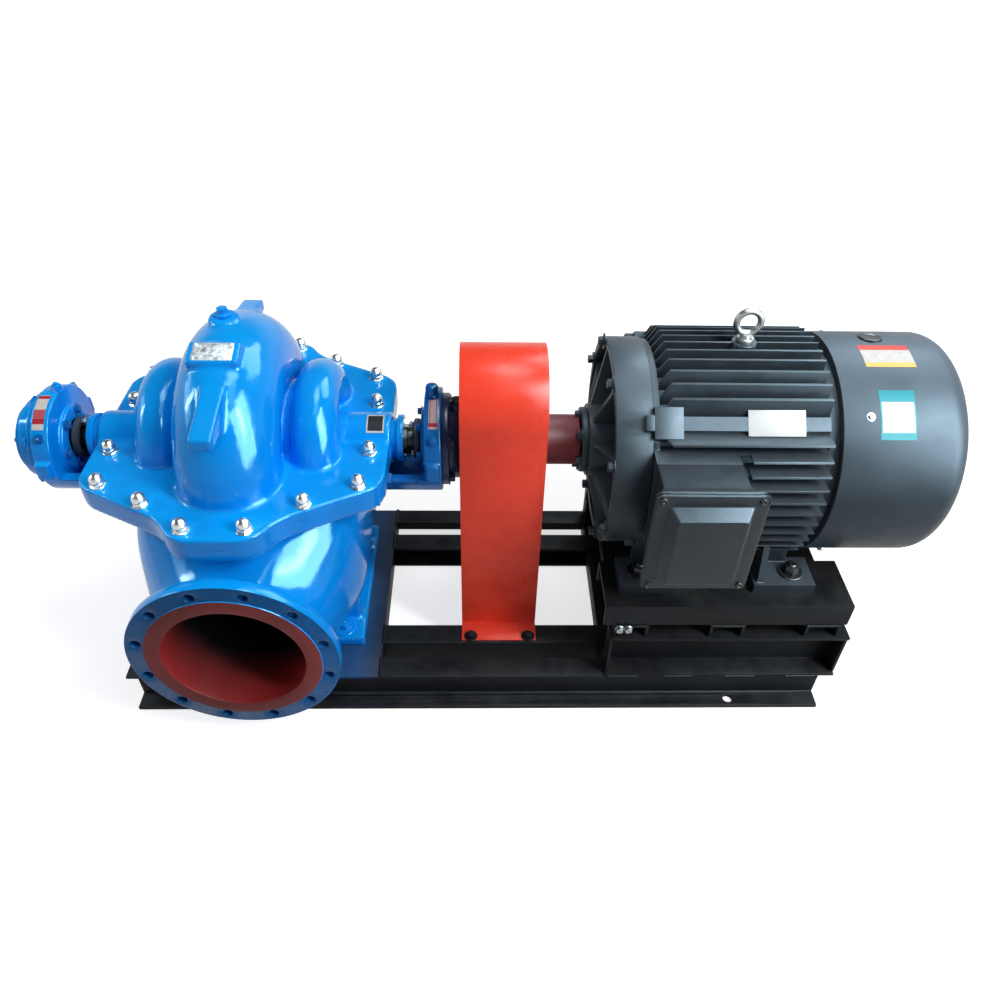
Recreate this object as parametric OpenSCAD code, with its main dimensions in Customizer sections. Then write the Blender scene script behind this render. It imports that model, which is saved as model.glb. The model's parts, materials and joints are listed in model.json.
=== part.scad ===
// Horizontally split, double-suction pump set: pump, coupling and motor on one welded base.
// Millimetres, +Z up. Origin on the floor, in the middle of the four foundation bolts.

/* [Base frame] */
// Height of the base frame
base_h = 70; // [55:1:110]
// Width over the two outer rails
base_w = 594; // [580:1:640]
// Reach of the rails to the pump end
base_left = 806; // [790:1:900]
// Reach of the rails to the motor end
base_right = 830; // [800:1:900]
// Width of an outer rail's top
outer_rail_w = 55; // [45:1:70]
// Width of an inner rail
inner_rail_w = 58; // [45:1:65]
// Clear width between the inner rails
inner_gap = 274; // [240:1:290]
// Steel thickness of the rails and plates
rail_t = 8; // [6:1:12]
// Width of the foot strip outside the outer rails
strip_w = 43; // [36:1:60]
// Thickness of the foot strip
strip_t = 10; // [8:1:14]
// Distance between the foundation bolts along the base
anchor_dx = 1230; // [900:10:1500]
// Foundation bolt hole diameter
anchor_d = 22; // [14:1:26]
// Overhang of the pump bed plate past the rails
bed_overhang = 28; // [0:1:40]
// Length of the pump bed plate
bed_len = 602; // [560:1:680]
// Width of a cross member
cross_w = 50; // [30:1:70]

/* [Motor pedestal] */
// Height of the upright beams
beam_h = 140; // [100:1:180]
// Flange width of the upright beams
beam_w = 56; // [48:1:70]
// Thickness of the beam walls
beam_t = 7; // [5:1:10]
// Start of the beams along the base
beam_left = 310; // [290:1:330]
// Length of the beams
beam_len = 557; // [480:1:600]
// Height of the cross ties between beams and pads
tie_h = 38; // [25:1:60]
// Width of a cross tie
tie_w = 80; // [60:1:100]
// Place of the first cross tie past the beams' start
tie_first = 4; // [2:1:40]
// Distance between cross ties
tie_step = 222; // [150:1:230]
// Width of a motor pad
pad_w = 145; // [120:1:160]
// Height of a motor pad
pad_h = 62; // [45:1:80]
// Wall of a motor pad
pad_t = 9; // [6:1:12]
// Start of the pads along the base
pad_left = 289; // [270:1:300]
// Length of the pads
pad_len = 562; // [500:1:600]
// Set-back of a motor pad from the side of the base
pad_set = 10; // [0:1:30]

/* [Pump casing] */
// Distance from the middle of the base to the pump's middle
pump_dist = 510; // [500:1:520]
// Thickness of each half of the split flange
split_t = 30; // [20:1:40]
// Radius of the round bulge of the split flange
bulge_r = 70; // [60:1:80]
// Distance of the bulge's centre from the shaft
bulge_y = 297; // [285:1:310]
// Half the distance between the two corners of a bulge
bulge_x = 40; // [30:1:50]
// Radius of the hollow beside a bulge
crook_r = 120; // [90:1:140]
// Corner radius of the split flange
corner_r = 62; // [50:1:75]
// Corner centre along the shaft
corner_x = 255; // [240:1:270]
// Corner centre across the shaft
corner_y = 163; // [150:1:180]
// Angle of the sloping sides between corners and bulges
side_lean = 27.5; // [22:0.5:32]
// Crown radius of the volute
volute_r = 285; // [270:1:300]
// Radius of the volute's round section
volute_tube = 107; // [95:1:115]
// Offset of the volute's centre towards the discharge
volute_shift = -5; // [-20:1:20]
// Width of the flat core inside the volute
volute_core = 172; // [140:1:190]
// Distance of a suction lobe from the pump's middle
lobe_x = 163; // [150:1:175]
// Crown radius of a suction lobe
lobe_r = 172; // [160:1:185]
// Set-back of the suction lobes from the shaft
lobe_shift = 12; // [0:1:25]
// Radius of a lobe's round section
lobe_tube = 50; // [40:1:60]
// Radius of the stuffing boxes
box_r = 60; // [56:1:70]
// Bore radius of a stuffing box
box_bore = 46; // [42:1:52]
// Depth of a stuffing box bore
box_depth = 50; // [40:1:80]
// Half width of the lower casing
belly_w = 252; // [230:1:260]
// Depth of the lower casing below the shaft
belly_d = 430; // [410:1:450]
// Depth of the lower casing's roof below the shaft
belly_top = 10; // [5:1:20]
// Half length of the lower casing's full section across the shaft
belly_y = 130; // [110:1:160]
// Squareness of the lower casing's section, where 2 is round
belly_square = 3.2; // [2:0.1:4]
// Width of the lifting noses
lug_w = 46; // [36:1:60]
// Height of the noses' underside above the shaft
lug_low = 186; // [170:1:200]
// Reach of the noses past the volute
lug_tip = 72; // [50:1:80]
// Height of the rear lug above the shaft
back_low = 205; // [190:1:215]
// How far the rear lug stands out
back_tip = 22; // [10:1:40]
// Height of the noses' blunt ends
lug_nose = 26; // [18:1:34]
// Angle round the volute at which a nose begins
lug_a = 121; // [115:1:125]
// Radius of the vent boss
vent_r = 32; // [26:1:38]
// Rise of the vent boss over the crown
vent_rise = 6; // [4:1:12]
// Offset of the vent boss along the shaft
vent_x = -12; // [-20:1:20]
// Offset of the vent boss across the shaft
vent_y = 30; // [0:1:40]
// Radius of the vent plug's collar
plug_r = 17; // [14:1:22]
// Radius over the vent plug's hexagon
plug_hex = 12; // [10:1:14]
// Height of the vent plug
plug_h = 18; // [14:1:24]
// Height of the vent plug's collar
plug_collar = 7; // [5:1:10]
// Width of the name plate's seat
plate_w = 104; // [90:1:130]
// Height of the name plate's seat
plate_h = 58; // [50:1:72]
// Rise of the name plate's seat over the crown
plate_rise = 6; // [4:1:10]
// Lean of the name plate's seat from the vertical
plate_lean = 17; // [12:1:26]
// Offset of the plate seat along the shaft
plate_x = -8; // [-20:1:20]
// Distance of a pump foot's middle from the pump's middle
foot_x = 180; // [170:1:190]
// Thickness of the pump feet
foot_t = 30; // [20:1:40]
// Width of a pump foot
foot_w = 110; // [90:1:120]
// Reach of the pump feet across the shaft
foot_y = 204; // [180:1:230]
// Thickness of the webs over the pump feet
foot_web = 26; // [20:1:34]
// Set-back of the cross webs from the feet's ends
foot_set = 76; // [64:1:90]

/* [Nozzles] */
// Depth of the nozzle axis below the shaft
nozzle_drop = 275; // [260:1:290]
// Distance of the flange faces from the shaft
face_y = 415; // [400:1:440]
// Suction flange diameter
suction_od = 445; // [430:1:470]
// Suction bore
suction_bore = 300; // [250:1:310]
// Depth of the straight suction way
suction_depth = 225; // [200:1:240]
// Discharge flange diameter
discharge_od = 395; // [380:1:420]
// Discharge bore
discharge_bore = 250; // [200:1:260]
// Depth of the straight discharge way
discharge_depth = 200; // [180:1:220]
// Distance of the bolt circle from a flange's edge
nozzle_edge = 22.5; // [20:0.5:25]
// Gap between the bolt holes and the raised face
seat_gap = 4; // [2:0.5:8]
// Thickness of the nozzle flanges
nozzle_t = 30; // [24:1:40]
// Height of the raised faces
seat_t = 3; // [2:1:5]
// Flange bolt hole diameter
nozzle_hole = 22; // [18:1:26]
// Holes in each flange
nozzle_holes = 12; // [8:4:16]
// Wall of the nozzle necks
neck_t = 25; // [18:1:30]

/* [Shaft line] */
// Shaft diameter in the bearings
shaft_d = 55; // [45:1:60]
// Diameter of the shaft sleeves
sleeve_d = 70; // [64:1:76]
// Length of a shaft sleeve that shows past its gland
sleeve_over = 8; // [4:1:12]
// Running clearance of a shaft in its bearing
run_gap = 0.05; // [0.02:0.01:0.1]
// Free space round a turning piece
air_gap = 6; // [5:0.5:10]
// Space left round a part that slides in
slip_gap = 0.3; // [0.2:0.05:0.5]
// Half length of the casing along the shaft
casing_half = 320; // [315:1:330]
// Radius of a bearing bracket
bracket_r = 117; // [110:1:125]
// Wall of a bearing bracket
bracket_t = 24; // [18:1:28]
// Height of the bracket's open rim below the shaft
bracket_rim = 34; // [25:1:45]
// Free length of a bearing bracket
bracket_len = 75; // [65:1:90]
// Thickness of the bracket's end plate
bracket_plate = 38; // [25:1:45]
// Reach of the clamping ears past the end plate
ear_reach = 14; // [8:1:20]
// Half height of a clamping ear
ear_h = 20; // [14:1:26]
// Set-back of an ear from the end plate's faces
ear_set = 4; // [2:1:6]
// Radius of the inner bearing cap
cap_r = 72; // [60:1:80]
// Thickness of the inner bearing cap
cap_t = 9; // [6:1:14]
// Radius of a bearing housing
housing_r = 88; // [80:1:95]
// Length of a bearing housing
housing_len = 72; // [60:1:80]
// Length of the outboard bearing housing
outboard_len = 40; // [30:1:72]
// Radius of a bearing housing's flange
housing_rim = 104; // [98:1:110]
// Thickness of a bearing housing's flange
housing_rim_t = 16; // [10:1:22]
// Radius of the bearing end cover
cover_r = 74; // [60:1:80]
// Thickness of the bearing end cover
cover_t = 14; // [12:1:24]
// Depth of the shaft's room in the end cover
cover_room = 7; // [5:1:9]
// Radius of the oil cup
cup_r = 11; // [8:1:14]
// Height of the oil cup
cup_h = 22; // [16:1:28]
// Place of the oil cup past the bracket
cup_x = 32; // [28:1:50]
// Radius of a gland plate
gland_r = 54; // [50:1:60]
// Thickness of a gland plate
gland_t = 14; // [10:1:18]
// Gap between the casing and a gland plate
gland_gap = 12; // [6:1:16]
// Length of a gland's nose in the stuffing box
gland_nose = 18; // [12:1:26]

/* [Coupling and guard] */
// Radius of the coupling flanges
coupling_r = 105; // [90:1:112]
// Thickness of a coupling flange
coupling_t = 32; // [24:1:40]
// Radius of a coupling hub
hub_r = 57; // [50:1:65]
// Length of the pump side hub
hub_pump = 20; // [10:1:22]
// Length of the motor side hub
hub_motor = 134; // [110:1:140]
// Gap between the coupling halves
coupling_gap = 4; // [2:1:6]
// Place of the coupling gap along the base
coupling_x = 61; // [58:1:64]
// Coupling pins
pin_count = 8; // [6:1:10]
// Coupling pin diameter
pin_d = 20; // [14:1:24]
// Circle of the coupling pins
pin_pcd = 160; // [150:1:165]
// Width of the guard along the shaft
guard_len = 186; // [170:1:200]
// Start of the guard along the base
guard_x = -37; // [-38:1:-30]
// Outer radius of the guard's arch
guard_r = 129; // [125:1:135]
// Height of the arch's centre over the shaft
guard_rise = 102; // [60:1:120]
// Sheet thickness of the guard
guard_t = 3; // [2:0.5:4]
// Width of a guard foot
guard_foot = 62; // [50:1:64]

/* [Motor] */
// Shaft height of the motor above its feet
motor_h = 250; // [245:1:260]
// Start of the motor housing
motor_x = 356; // [352:1:360]
// Length of the finned housing
motor_len = 360; // [340:1:370]
// Outer radius of the housing wall
motor_r = 214; // [205:1:220]
// Wall of the housing
motor_wall = 20; // [14:1:26]
// Radius over the fin tips
fin_r = 257; // [250:1:262]
// Thickness of a fin
fin_t = 5; // [4:0.5:7]
// Distance between fins
fin_pitch = 29; // [24:1:34]
// Fins on each side of a quadrant's middle line
fin_side = 5; // [4:1:5]
// Length of the slant at the fins' drive end
fin_slant = 34; // [20:1:50]
// Radius of the end rings of the housing
ring_r = 228; // [222:1:231]
// Width of the end rings
ring_t = 14; // [10:1:20]
// Radius over the four bolt ears
lug_r = 243; // [238:1:250]
// Width of a bolt ear
lug_side = 66; // [50:1:76]
// Length of a bolt ear
lug_len = 58; // [40:1:70]
// Radius over the four flat bars between the fins
bar_r = 236; // [228:1:242]
// Width of a flat bar
bar_w = 30; // [22:1:40]
// Distance between the feet bolts across the motor
feet_a = 406; // [396:1:416]
// Distance between the feet bolts along the motor
feet_b = 349; // [340:1:356]
// Width over the motor feet
feet_ab = 490; // [480:1:510]
// Width of a motor foot
feet_w = 90; // [80:1:100]
// Thickness of the motor feet
feet_t = 26; // [18:1:34]
// Place of the first foot bolts past the housing's start
feet_c = 14; // [8:1:20]
// Length of a motor foot
feet_len = 96; // [80:1:110]
// Extra length of the foot plates towards the middle
feet_in = 44; // [20:1:60]
// Diameter of the foot bolt holes
feet_hole = 24; // [18:1:28]
// Thickness of a foot web
web_t = 14; // [10:1:18]
// Set-back of a foot web from the foot's edge
web_set = 8; // [4:1:14]
// Depth of a foot web's top below the shaft
web_drop = 90; // [70:1:110]
// Reach of a foot web at its top
web_y = 206; // [200:1:214]
// Radius of the drive end shield
shield_r = 232; // [224:1:236]
// Width of the drive end shield's rim
shield_rim = 76; // [60:1:84]
// Wall of the drive end shield
shield_t = 18; // [12:1:22]
// Depth of the drive end shield
shield_depth = 109; // [95:1:112]
// Radius of the shield's hub
shield_hub = 82; // [70:1:95]
// Ribs of the drive end shield
shield_ribs = 8; // [6:1:12]
// Thickness of a shield rib
rib_t = 12; // [8:1:16]
// Set-back of the ribs from the shield's edges
rib_set = 8; // [4:1:12]
// Thickness of the motor's bearing cover
end_cap_t = 14; // [10:1:18]
// Diameter of the motor shaft
motor_shaft_d = 65; // [60:1:75]
// Thickness of the rear end shield
rear_t = 20; // [14:1:26]
// Radius of the rear end shield
rear_r = 226; // [218:1:232]
// Width of the collar that carries the fan cowl
collar_w = 22; // [16:1:28]
// Outer radius of the fan cowl
cowl_r = 247; // [242:1:250]
// Length of the fan cowl
cowl_len = 275; // [240:1:290]
// Sheet thickness of the fan cowl
cowl_t = 3; // [2:0.5:4]
// Edge radius of the fan cowl
cowl_round = 50; // [40:1:60]
// Inner radius of the first grille slot
grille_r = 48; // [40:1:60]
// Width of a grille slot
grille_slot = 14; // [8:1:16]
// Distance between grille slots
grille_step = 24; // [20:1:25]
// Grille slots
grille_rings = 6; // [3:1:6]
// Width of a grille spoke
grille_spoke = 16; // [10:1:24]
// Radius of the cooling fan
fan_r = 185; // [150:1:200]
// Blades of the cooling fan
fan_blades = 7; // [5:1:9]
// Radius of the fan's hub
fan_hub = 62; // [50:1:70]
// Width of the fan
fan_w = 64; // [50:1:80]
// Thickness of the fan's disc and blades
fan_t = 6; // [4:1:8]
// Place of the fan behind the cowl's edge
fan_x = 40; // [32:1:50]
// Length of the motor shaft behind the cowl's edge
tail_len = 110; // [106:1:130]
// Width of the terminal box rim
tbox_w = 217; // [205:1:225]
// Height of the terminal box rim
tbox_h = 254; // [240:1:270]
// Distance of the terminal box rim from the shaft
tbox_y = 350; // [335:1:360]
// Place of the terminal box past the housing's start
tbox_along = 88; // [87:1:100]
// Rise of the terminal box over the shaft
tbox_rise = 14; // [8:1:18]
// Corner radius of the terminal box rim
tbox_round = 14; // [8:1:20]
// Rim thickness of the terminal box and its cover
tbox_rim = 8; // [6:1:12]
// Width of the terminal box neck
tbox_neck_w = 172; // [160:1:174]
// Height of the terminal box neck
tbox_neck_h = 210; // [190:1:230]
// Length over which the neck widens to the rim
tbox_flare = 44; // [30:1:60]
// Distance from the shaft at which the neck begins
saddle_y = 238; // [234:1:250]
// Depth of the terminal box cover
tbox_cover = 36; // [25:1:45]
// Distance of the cover's raised face from the rim
cover_edge = 27; // [20:1:34]
// Slope of the cover's raised face
cover_slope = 15; // [8:1:22]
// Place of the eye bolt past the housing's start
eye_along = 202; // [190:1:215]
// Radius of the eye bolt's boss
eye_boss = 26; // [22:1:32]
// Height of the eye bolt's boss over the fins
eye_rise = 2; // [1:1:6]
// Outer diameter of the eye bolt's ring
eye_d = 64; // [58:1:80]
// Bar diameter of the eye bolt's ring
eye_bar = 14; // [10:1:16]
// Diameter of the eye bolt's collar
eye_collar = 36; // [30:1:44]
// Height of the eye bolt's collar
eye_collar_h = 10; // [8:1:11]
// Height of the ring over the eye bolt's seat
eye_neck = 12; // [12:1:16]

/* [Hidden] */
$fn = 96;

// Overshoot of a cut past the face that it opens
cut = 1;
// Steps of the lower casing's loft, along and round it
loft_steps = 9;
loft_points = 56;
pad_top = base_h + beam_h + tie_h + pad_h;
pad_in = base_w / 2 - pad_set - pad_w;
shaft_z = pad_top + motor_h;
anchor_y = base_w / 2 + strip_w / 2;
bed_x0 = -base_left - bed_overhang;
bed_x1 = bed_x0 + bed_len;
bracket_end = casing_half + bracket_len + bracket_plate;
outboard_end = bracket_end + outboard_len;
bore_r = shaft_d / 2 + run_gap;
sleeve_bore = sleeve_d / 2 + air_gap;
neck_y = face_y - nozzle_t;
vent_top = shaft_z + volute_r + vent_rise;
coupling_pump_x = coupling_x - coupling_gap / 2 - coupling_t;
coupling_motor_x = coupling_x + coupling_gap / 2;
motor_x1 = motor_x + motor_len;
motor_bore = motor_shaft_d / 2 + run_gap;
cowl_x = motor_x1 + rear_t;
cowl_in = cowl_r - cowl_t;
tbox_x = motor_x + tbox_along;
tbox_z = shaft_z + tbox_rise;
eye_x = motor_x + eye_along;
eye_seat = shaft_z + fin_r + eye_rise;
blue = "#0a72d6";
dark_blue = "#0b4a96";
steel_black = "#17181a";
motor_grey = "#2c3138";

// Lays a flat profile in the Y-Z plane and extrudes it along X
module along_x(x0, len) {
    translate([x0, 0, 0]) rotate([90, 0, 90]) linear_extrude(len) children();
}

// Turns pieces drawn along Z so that they lie on the shaft line from x0
module on_shaft(x0) {
    translate([x0, 0, shaft_z]) rotate([90, 0, 90]) children();
}

// The same on the pump's own middle
module on_pump(x0 = 0) {
    on_shaft(x0 - pump_dist) children();
}

// A piece and its copy on the other side of the shaft line
module both_y() {
    children();
    mirror([0, 1, 0]) children();
}

function arc(c, r, a0, a1, n) =
    [for (i = [0:n]) c + r * [cos(a0 + (a1 - a0) * i / n), sin(a0 + (a1 - a0) * i / n)]];

function mix(a, b, t) = a + (b - a) * t;

function ease(t) = t * t * (3 - 2 * t);

function root(v, e) = sign(v) * pow(abs(v), e);

// One end of the split flange outline: sloping sides, hollows and the two corners of the bulge
function bulge_end(flip) =
    let (side = 90 - side_lean,
        n = [cos(side), sin(side)],
        line = n * [corner_x, corner_y] + corner_r,
        at = [bulge_x, bulge_y],
        turn = side - acos((line + crook_r - n * at) / (bulge_r + crook_r)),
        hollow = at + (bulge_r + crook_r) * [cos(turn), sin(turn)],
        half = concat(arc([corner_x, corner_y], corner_r, 0, side, 12),
            arc(hollow, crook_r, 180 + side, 180 + turn, 8),
            arc(at, bulge_r, turn, 90, 10)),
        last = len(half) - 1)
    flip * concat(half, [for (i = [0:last]) [-half[last - i][0], half[last - i][1]]]);

// Outline of the split flange: a bulge at the front and back, and four corners
module split_outline() {
    polygon(concat(bulge_end(1), bulge_end(-1)));
}

// Base frame

module outer_rail() {
    y1 = base_w / 2;
    difference() {
        union() {
            along_x(-base_left, base_left + base_right)
                polygon([[-y1 - strip_w, 0], [-y1 + rail_t, 0], [-y1 + rail_t, base_h - rail_t],
                    [-y1, base_h - rail_t], [-y1, strip_t], [-y1 - strip_w, strip_t]]);
            along_x(bed_x1, base_right - bed_x1)
                translate([-y1, base_h - rail_t]) square([outer_rail_w, rail_t]);
        }
        for (x = [-anchor_dx / 2, anchor_dx / 2])
            translate([x, -anchor_y, -cut]) cylinder(d = anchor_d, h = strip_t + 2 * cut);
    }
}

module inner_rail() {
    y0 = -inner_gap / 2 - inner_rail_w;
    h = base_h - rail_t;
    along_x(-base_left, base_left + base_right)
        polygon([[y0, 0], [y0 + inner_rail_w, 0], [y0 + inner_rail_w, rail_t],
            [y0 + rail_t, rail_t], [y0 + rail_t, h], [y0, h]]);
    along_x(bed_x1, base_right - bed_x1)
        translate([y0, h]) square([inner_rail_w, rail_t]);
}

module outer_rail_front() { color(steel_black) outer_rail(); }
module outer_rail_back() { color(steel_black) mirror([0, 1, 0]) outer_rail(); }
module inner_rail_front() { color(steel_black) inner_rail(); }
module inner_rail_back() { color(steel_black) mirror([0, 1, 0]) inner_rail(); }

// Flat bars that tie the rails together under the bed plate and the pedestal
module cross_members() {
    h = base_h - rail_t;
    y_in = inner_gap / 2 + inner_rail_w;
    y_out = base_w / 2 - rail_t;
    color(steel_black)
        for (x = [-base_left, bed_x1 - cross_w, beam_left, base_right - cross_w]) {
            both_y() translate([x, y_in, 0]) cube([cross_w, y_out - y_in, h]);
            translate([x, -inner_gap / 2, rail_t]) cube([cross_w, inner_gap, h - rail_t]);
        }
}

module pump_bed_plate() {
    color(steel_black) translate([bed_x0, -base_w / 2, base_h - rail_t])
        cube([bed_len, base_w, rail_t]);
}

// Motor pedestal

module beam() {
    y0 = -base_w / 2;
    color(steel_black) along_x(beam_left, beam_len) translate([y0, base_h])
        polygon([[0, 0], [beam_w, 0], [beam_w, beam_h], [0, beam_h], [0, beam_h - beam_t],
            [beam_w - beam_t, beam_h - beam_t], [beam_w - beam_t, beam_t], [0, beam_t]]);
}

module motor_beam_front() { beam(); }
module motor_beam_back() { mirror([0, 1, 0]) beam(); }

module beam_stiffeners() {
    color(steel_black) both_y()
        for (x = [beam_left, beam_left + beam_len - beam_t])
            translate([x, -base_w / 2 + beam_t, base_h + beam_t])
                cube([beam_t, beam_w - 2 * beam_t, beam_h - 2 * beam_t]);
}

// Channels laid across the beams, open below
module pedestal_ties() {
    y1 = base_w / 2 - beam_t;
    z0 = base_h + beam_h;
    color(steel_black)
        for (i = [0:2])
            translate([beam_left + tie_first + i * tie_step, -y1, z0]) difference() {
                cube([tie_w, 2 * y1, tie_h]);
                translate([beam_t, -cut, -cut])
                    cube([tie_w - 2 * beam_t, 2 * y1 + 2 * cut, tie_h - beam_t + cut]);
            }
}

module pad() {
    z0 = pad_top - pad_h;
    color(steel_black) along_x(pad_left, pad_len) translate([-pad_in - pad_w, z0])
        polygon([[0, 0], [pad_t, 0], [pad_t, pad_h - pad_t], [pad_w - pad_t, pad_h - pad_t],
            [pad_w - pad_t, 0], [pad_w, 0], [pad_w, pad_h], [0, pad_h]]);
}

module motor_pad_front() { pad(); }
module motor_pad_back() { mirror([0, 1, 0]) pad(); }

// Pump casing

// Upper half of a disc
module half_disc(r) {
    intersection() {
        circle(r);
        translate([-r, 0]) square([2 * r, r]);
    }
}

// Volute, suction lobes and stuffing boxes above the split
module casing_half_forms() {
    translate([0, volute_shift, 0]) on_pump() {
        rotate_extrude(angle = 180) translate([volute_r - volute_tube, 0]) circle(volute_tube);
        linear_extrude(volute_core, center = true) half_disc(volute_r - volute_tube);
    }
    translate([0, lobe_shift, 0]) {
        for (s = [-1, 1])
            on_pump(s * lobe_x)
                rotate_extrude(angle = 180) translate([lobe_r - lobe_tube, 0]) circle(lobe_tube);
        on_pump() linear_extrude(2 * lobe_x + lobe_tube, center = true) half_disc(lobe_r - lobe_tube);
    }
    on_pump() linear_extrude(2 * casing_half, center = true) half_disc(box_r);
}

// Space for the shaft and the gland noses
module shaft_space() {
    on_pump(-casing_half - cut) cylinder(r = sleeve_bore, h = 2 * casing_half + 2 * cut);
    for (s = [-1, 1])
        on_pump(s * casing_half) cylinder(r = box_bore, h = 2 * box_depth, center = true);
}

// Lifting nose on the front of the volute: a wedge that ends in a level underside
module lifting_nose(low, out) {
    tip = -sqrt(volute_r * volute_r - low * low) - out;
    translate([-lug_w / 2, 0, 0]) rotate([90, 0, 90]) linear_extrude(lug_w)
        polygon([volute_r * [cos(lug_a), sin(lug_a)], [tip, low + lug_nose], [tip, low],
            [-volute_r + volute_tube, low]]);
}

// The long front nose and the short lug behind the crown
module lifting_lugs() {
    translate([-pump_dist, volute_shift, shaft_z]) {
        lifting_nose(lug_low, lug_tip);
        mirror([0, 1, 0]) lifting_nose(back_low, back_tip);
    }
}

module vent_boss() {
    translate([vent_x - pump_dist, vent_y, vent_top - volute_tube / 2])
        cylinder(r = vent_r, h = volute_tube / 2);
}

module vent_plug() {
    color(blue) translate([vent_x - pump_dist, vent_y, vent_top]) {
        cylinder(r = plug_r, h = plug_collar);
        cylinder(r = plug_hex, h = plug_h, $fn = 6);
    }
}

// Raised seat of the name plate on the front of the crown
module plate_boss() {
    translate([-pump_dist, volute_shift, shaft_z]) rotate([90 + plate_lean, 0, 0])
        translate([plate_x - plate_w / 2, volute_r - volute_tube / 2, -plate_h / 2])
            cube([plate_w, volute_tube / 2 + plate_rise, plate_h]);
}

module upper_casing() {
    color(blue) difference() {
        union() {
            translate([-pump_dist, 0, shaft_z]) linear_extrude(split_t) split_outline();
            casing_half_forms();
            lifting_lugs();
            vent_boss();
            plate_boss();
        }
        shaft_space();
    }
}

// Section of the lower casing at y, a share s of the way from a round neck to the full body
function belly_ring(y, s, neck) =
    let (roof = mix(neck - nozzle_drop, -belly_top, s),
        floor = mix(-neck - nozzle_drop, -belly_d, s),
        half = mix(neck, belly_w, s),
        e = 2 / mix(2, belly_square, s))
    [for (i = [0:loft_points - 1])
        let (a = 360 * i / loft_points)
        [half * root(cos(a), e), y, (roof + floor) / 2 + (roof - floor) / 2 * root(sin(a), e)]];

// Loft from the suction neck through the full body to the discharge neck
module belly() {
    n = loft_points;
    rings = concat(
        [for (i = [0:loft_steps])
            let (t = i / loft_steps)
            belly_ring(mix(-neck_y, -belly_y, t), ease(t), suction_bore / 2 + neck_t)],
        [for (i = [0:loft_steps])
            let (t = i / loft_steps)
            belly_ring(mix(belly_y, neck_y, t), ease(1 - t), discharge_bore / 2 + neck_t)]);
    last = len(rings) - 1;
    translate([-pump_dist, 0, shaft_z]) polyhedron(
        points = [for (ring = rings, p = ring) p],
        faces = concat(
            [for (r = [0:last - 1], i = [0:n - 1]) [r * n + i, r * n + (i + 1) % n, (r + 1) * n + i]],
            [for (r = [0:last - 1], i = [0:n - 1])
                [(r + 1) * n + i, r * n + (i + 1) % n, (r + 1) * n + (i + 1) % n]],
            [[for (i = [n - 1:-1:0]) i]],
            [[for (i = [0:n - 1]) last * n + i]]));
}

// Foot plates with a long web and two cross webs each
module pump_feet() {
    web_h = shaft_z - nozzle_drop - base_h;
    translate([-pump_dist, 0, base_h]) for (s = [-1, 1]) translate([s * foot_x, 0, 0]) {
        translate([-foot_w / 2, -foot_y, 0]) cube([foot_w, 2 * foot_y, foot_t]);
        translate([-foot_web / 2, -belly_y, 0]) cube([foot_web, 2 * belly_y, web_h]);
        for (y = [-foot_y + foot_set, foot_y - foot_set])
            translate([-foot_w / 2 + foot_web / 2, y - foot_web / 2, 0])
                cube([foot_w - foot_web, foot_web, web_h]);
    }
}

// Round-ended way into the casing from a flange face, drawn along Z
module water_way(bore, depth) {
    translate([0, 0, -depth]) {
        cylinder(d = bore, h = depth + cut);
        sphere(d = bore);
    }
}

module to_suction() {
    translate([-pump_dist, -face_y, shaft_z - nozzle_drop]) rotate([90, 0, 0]) children();
}

module to_discharge() {
    translate([-pump_dist, face_y, shaft_z - nozzle_drop]) rotate([-90, 0, 0]) children();
}

module lower_casing() {
    color(blue) difference() {
        union() {
            translate([-pump_dist, 0, shaft_z - split_t]) linear_extrude(split_t) split_outline();
            translate([0, 0, 2 * shaft_z]) mirror([0, 0, 1]) casing_half_forms();
            belly();
            pump_feet();
        }
        shaft_space();
        to_suction() water_way(suction_bore, suction_depth);
        to_discharge() water_way(discharge_bore, discharge_depth);
    }
}

// Flange drawn along Z, with its face up at z = 0
module nozzle_ring(od, bore) {
    pcd = od - 2 * nozzle_edge;
    seat = pcd - nozzle_hole - 2 * seat_gap;
    difference() {
        union() {
            translate([0, 0, -nozzle_t]) cylinder(d = od, h = nozzle_t - seat_t);
            translate([0, 0, -nozzle_t]) cylinder(d = seat, h = nozzle_t);
        }
        translate([0, 0, -nozzle_t - cut]) cylinder(d = bore, h = nozzle_t + 2 * cut);
        for (i = [0:nozzle_holes - 1])
            rotate([0, 0, (i + 0.5) * 360 / nozzle_holes]) translate([pcd / 2, 0, -nozzle_t - cut])
                cylinder(d = nozzle_hole, h = nozzle_t + 2 * cut);
    }
}

module suction_flange() { color(blue) to_suction() nozzle_ring(suction_od, suction_bore); }
module discharge_flange() { color(blue) to_discharge() nozzle_ring(discharge_od, discharge_bore); }

// Bearings

// Bracket of the drive end: an open trough, an end plate with clamping ears and the inner cap
module bracket() {
    reach = bracket_r + ear_reach;
    on_pump(casing_half) difference() {
        union() {
            cylinder(r = bracket_r, h = bracket_len + bracket_plate);
            translate([-reach, -ear_h, bracket_len + ear_set])
                cube([2 * reach, 2 * ear_h, bracket_plate - 2 * ear_set]);
        }
        difference() {
            union() {
                translate([0, 0, -cut]) cylinder(r = bracket_r - bracket_t, h = bracket_len + cut);
                translate([-reach, -bracket_rim, -cut]) cube([2 * reach, 2 * reach, bracket_len + cut]);
            }
            translate([0, 0, bracket_len - cap_t]) cylinder(r = cap_r, h = cap_t + cut);
        }
        cylinder(r = sleeve_bore, h = bracket_len + bracket_plate + cut);
    }
}

// Moves a drive end piece to the other end of the pump
module to_outboard() {
    translate([-2 * pump_dist, 0, 0]) mirror([1, 0, 0]) children();
}

module drive_bracket() { color(dark_blue) bracket(); }
module outboard_bracket() { color(blue) to_outboard() bracket(); }

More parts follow.
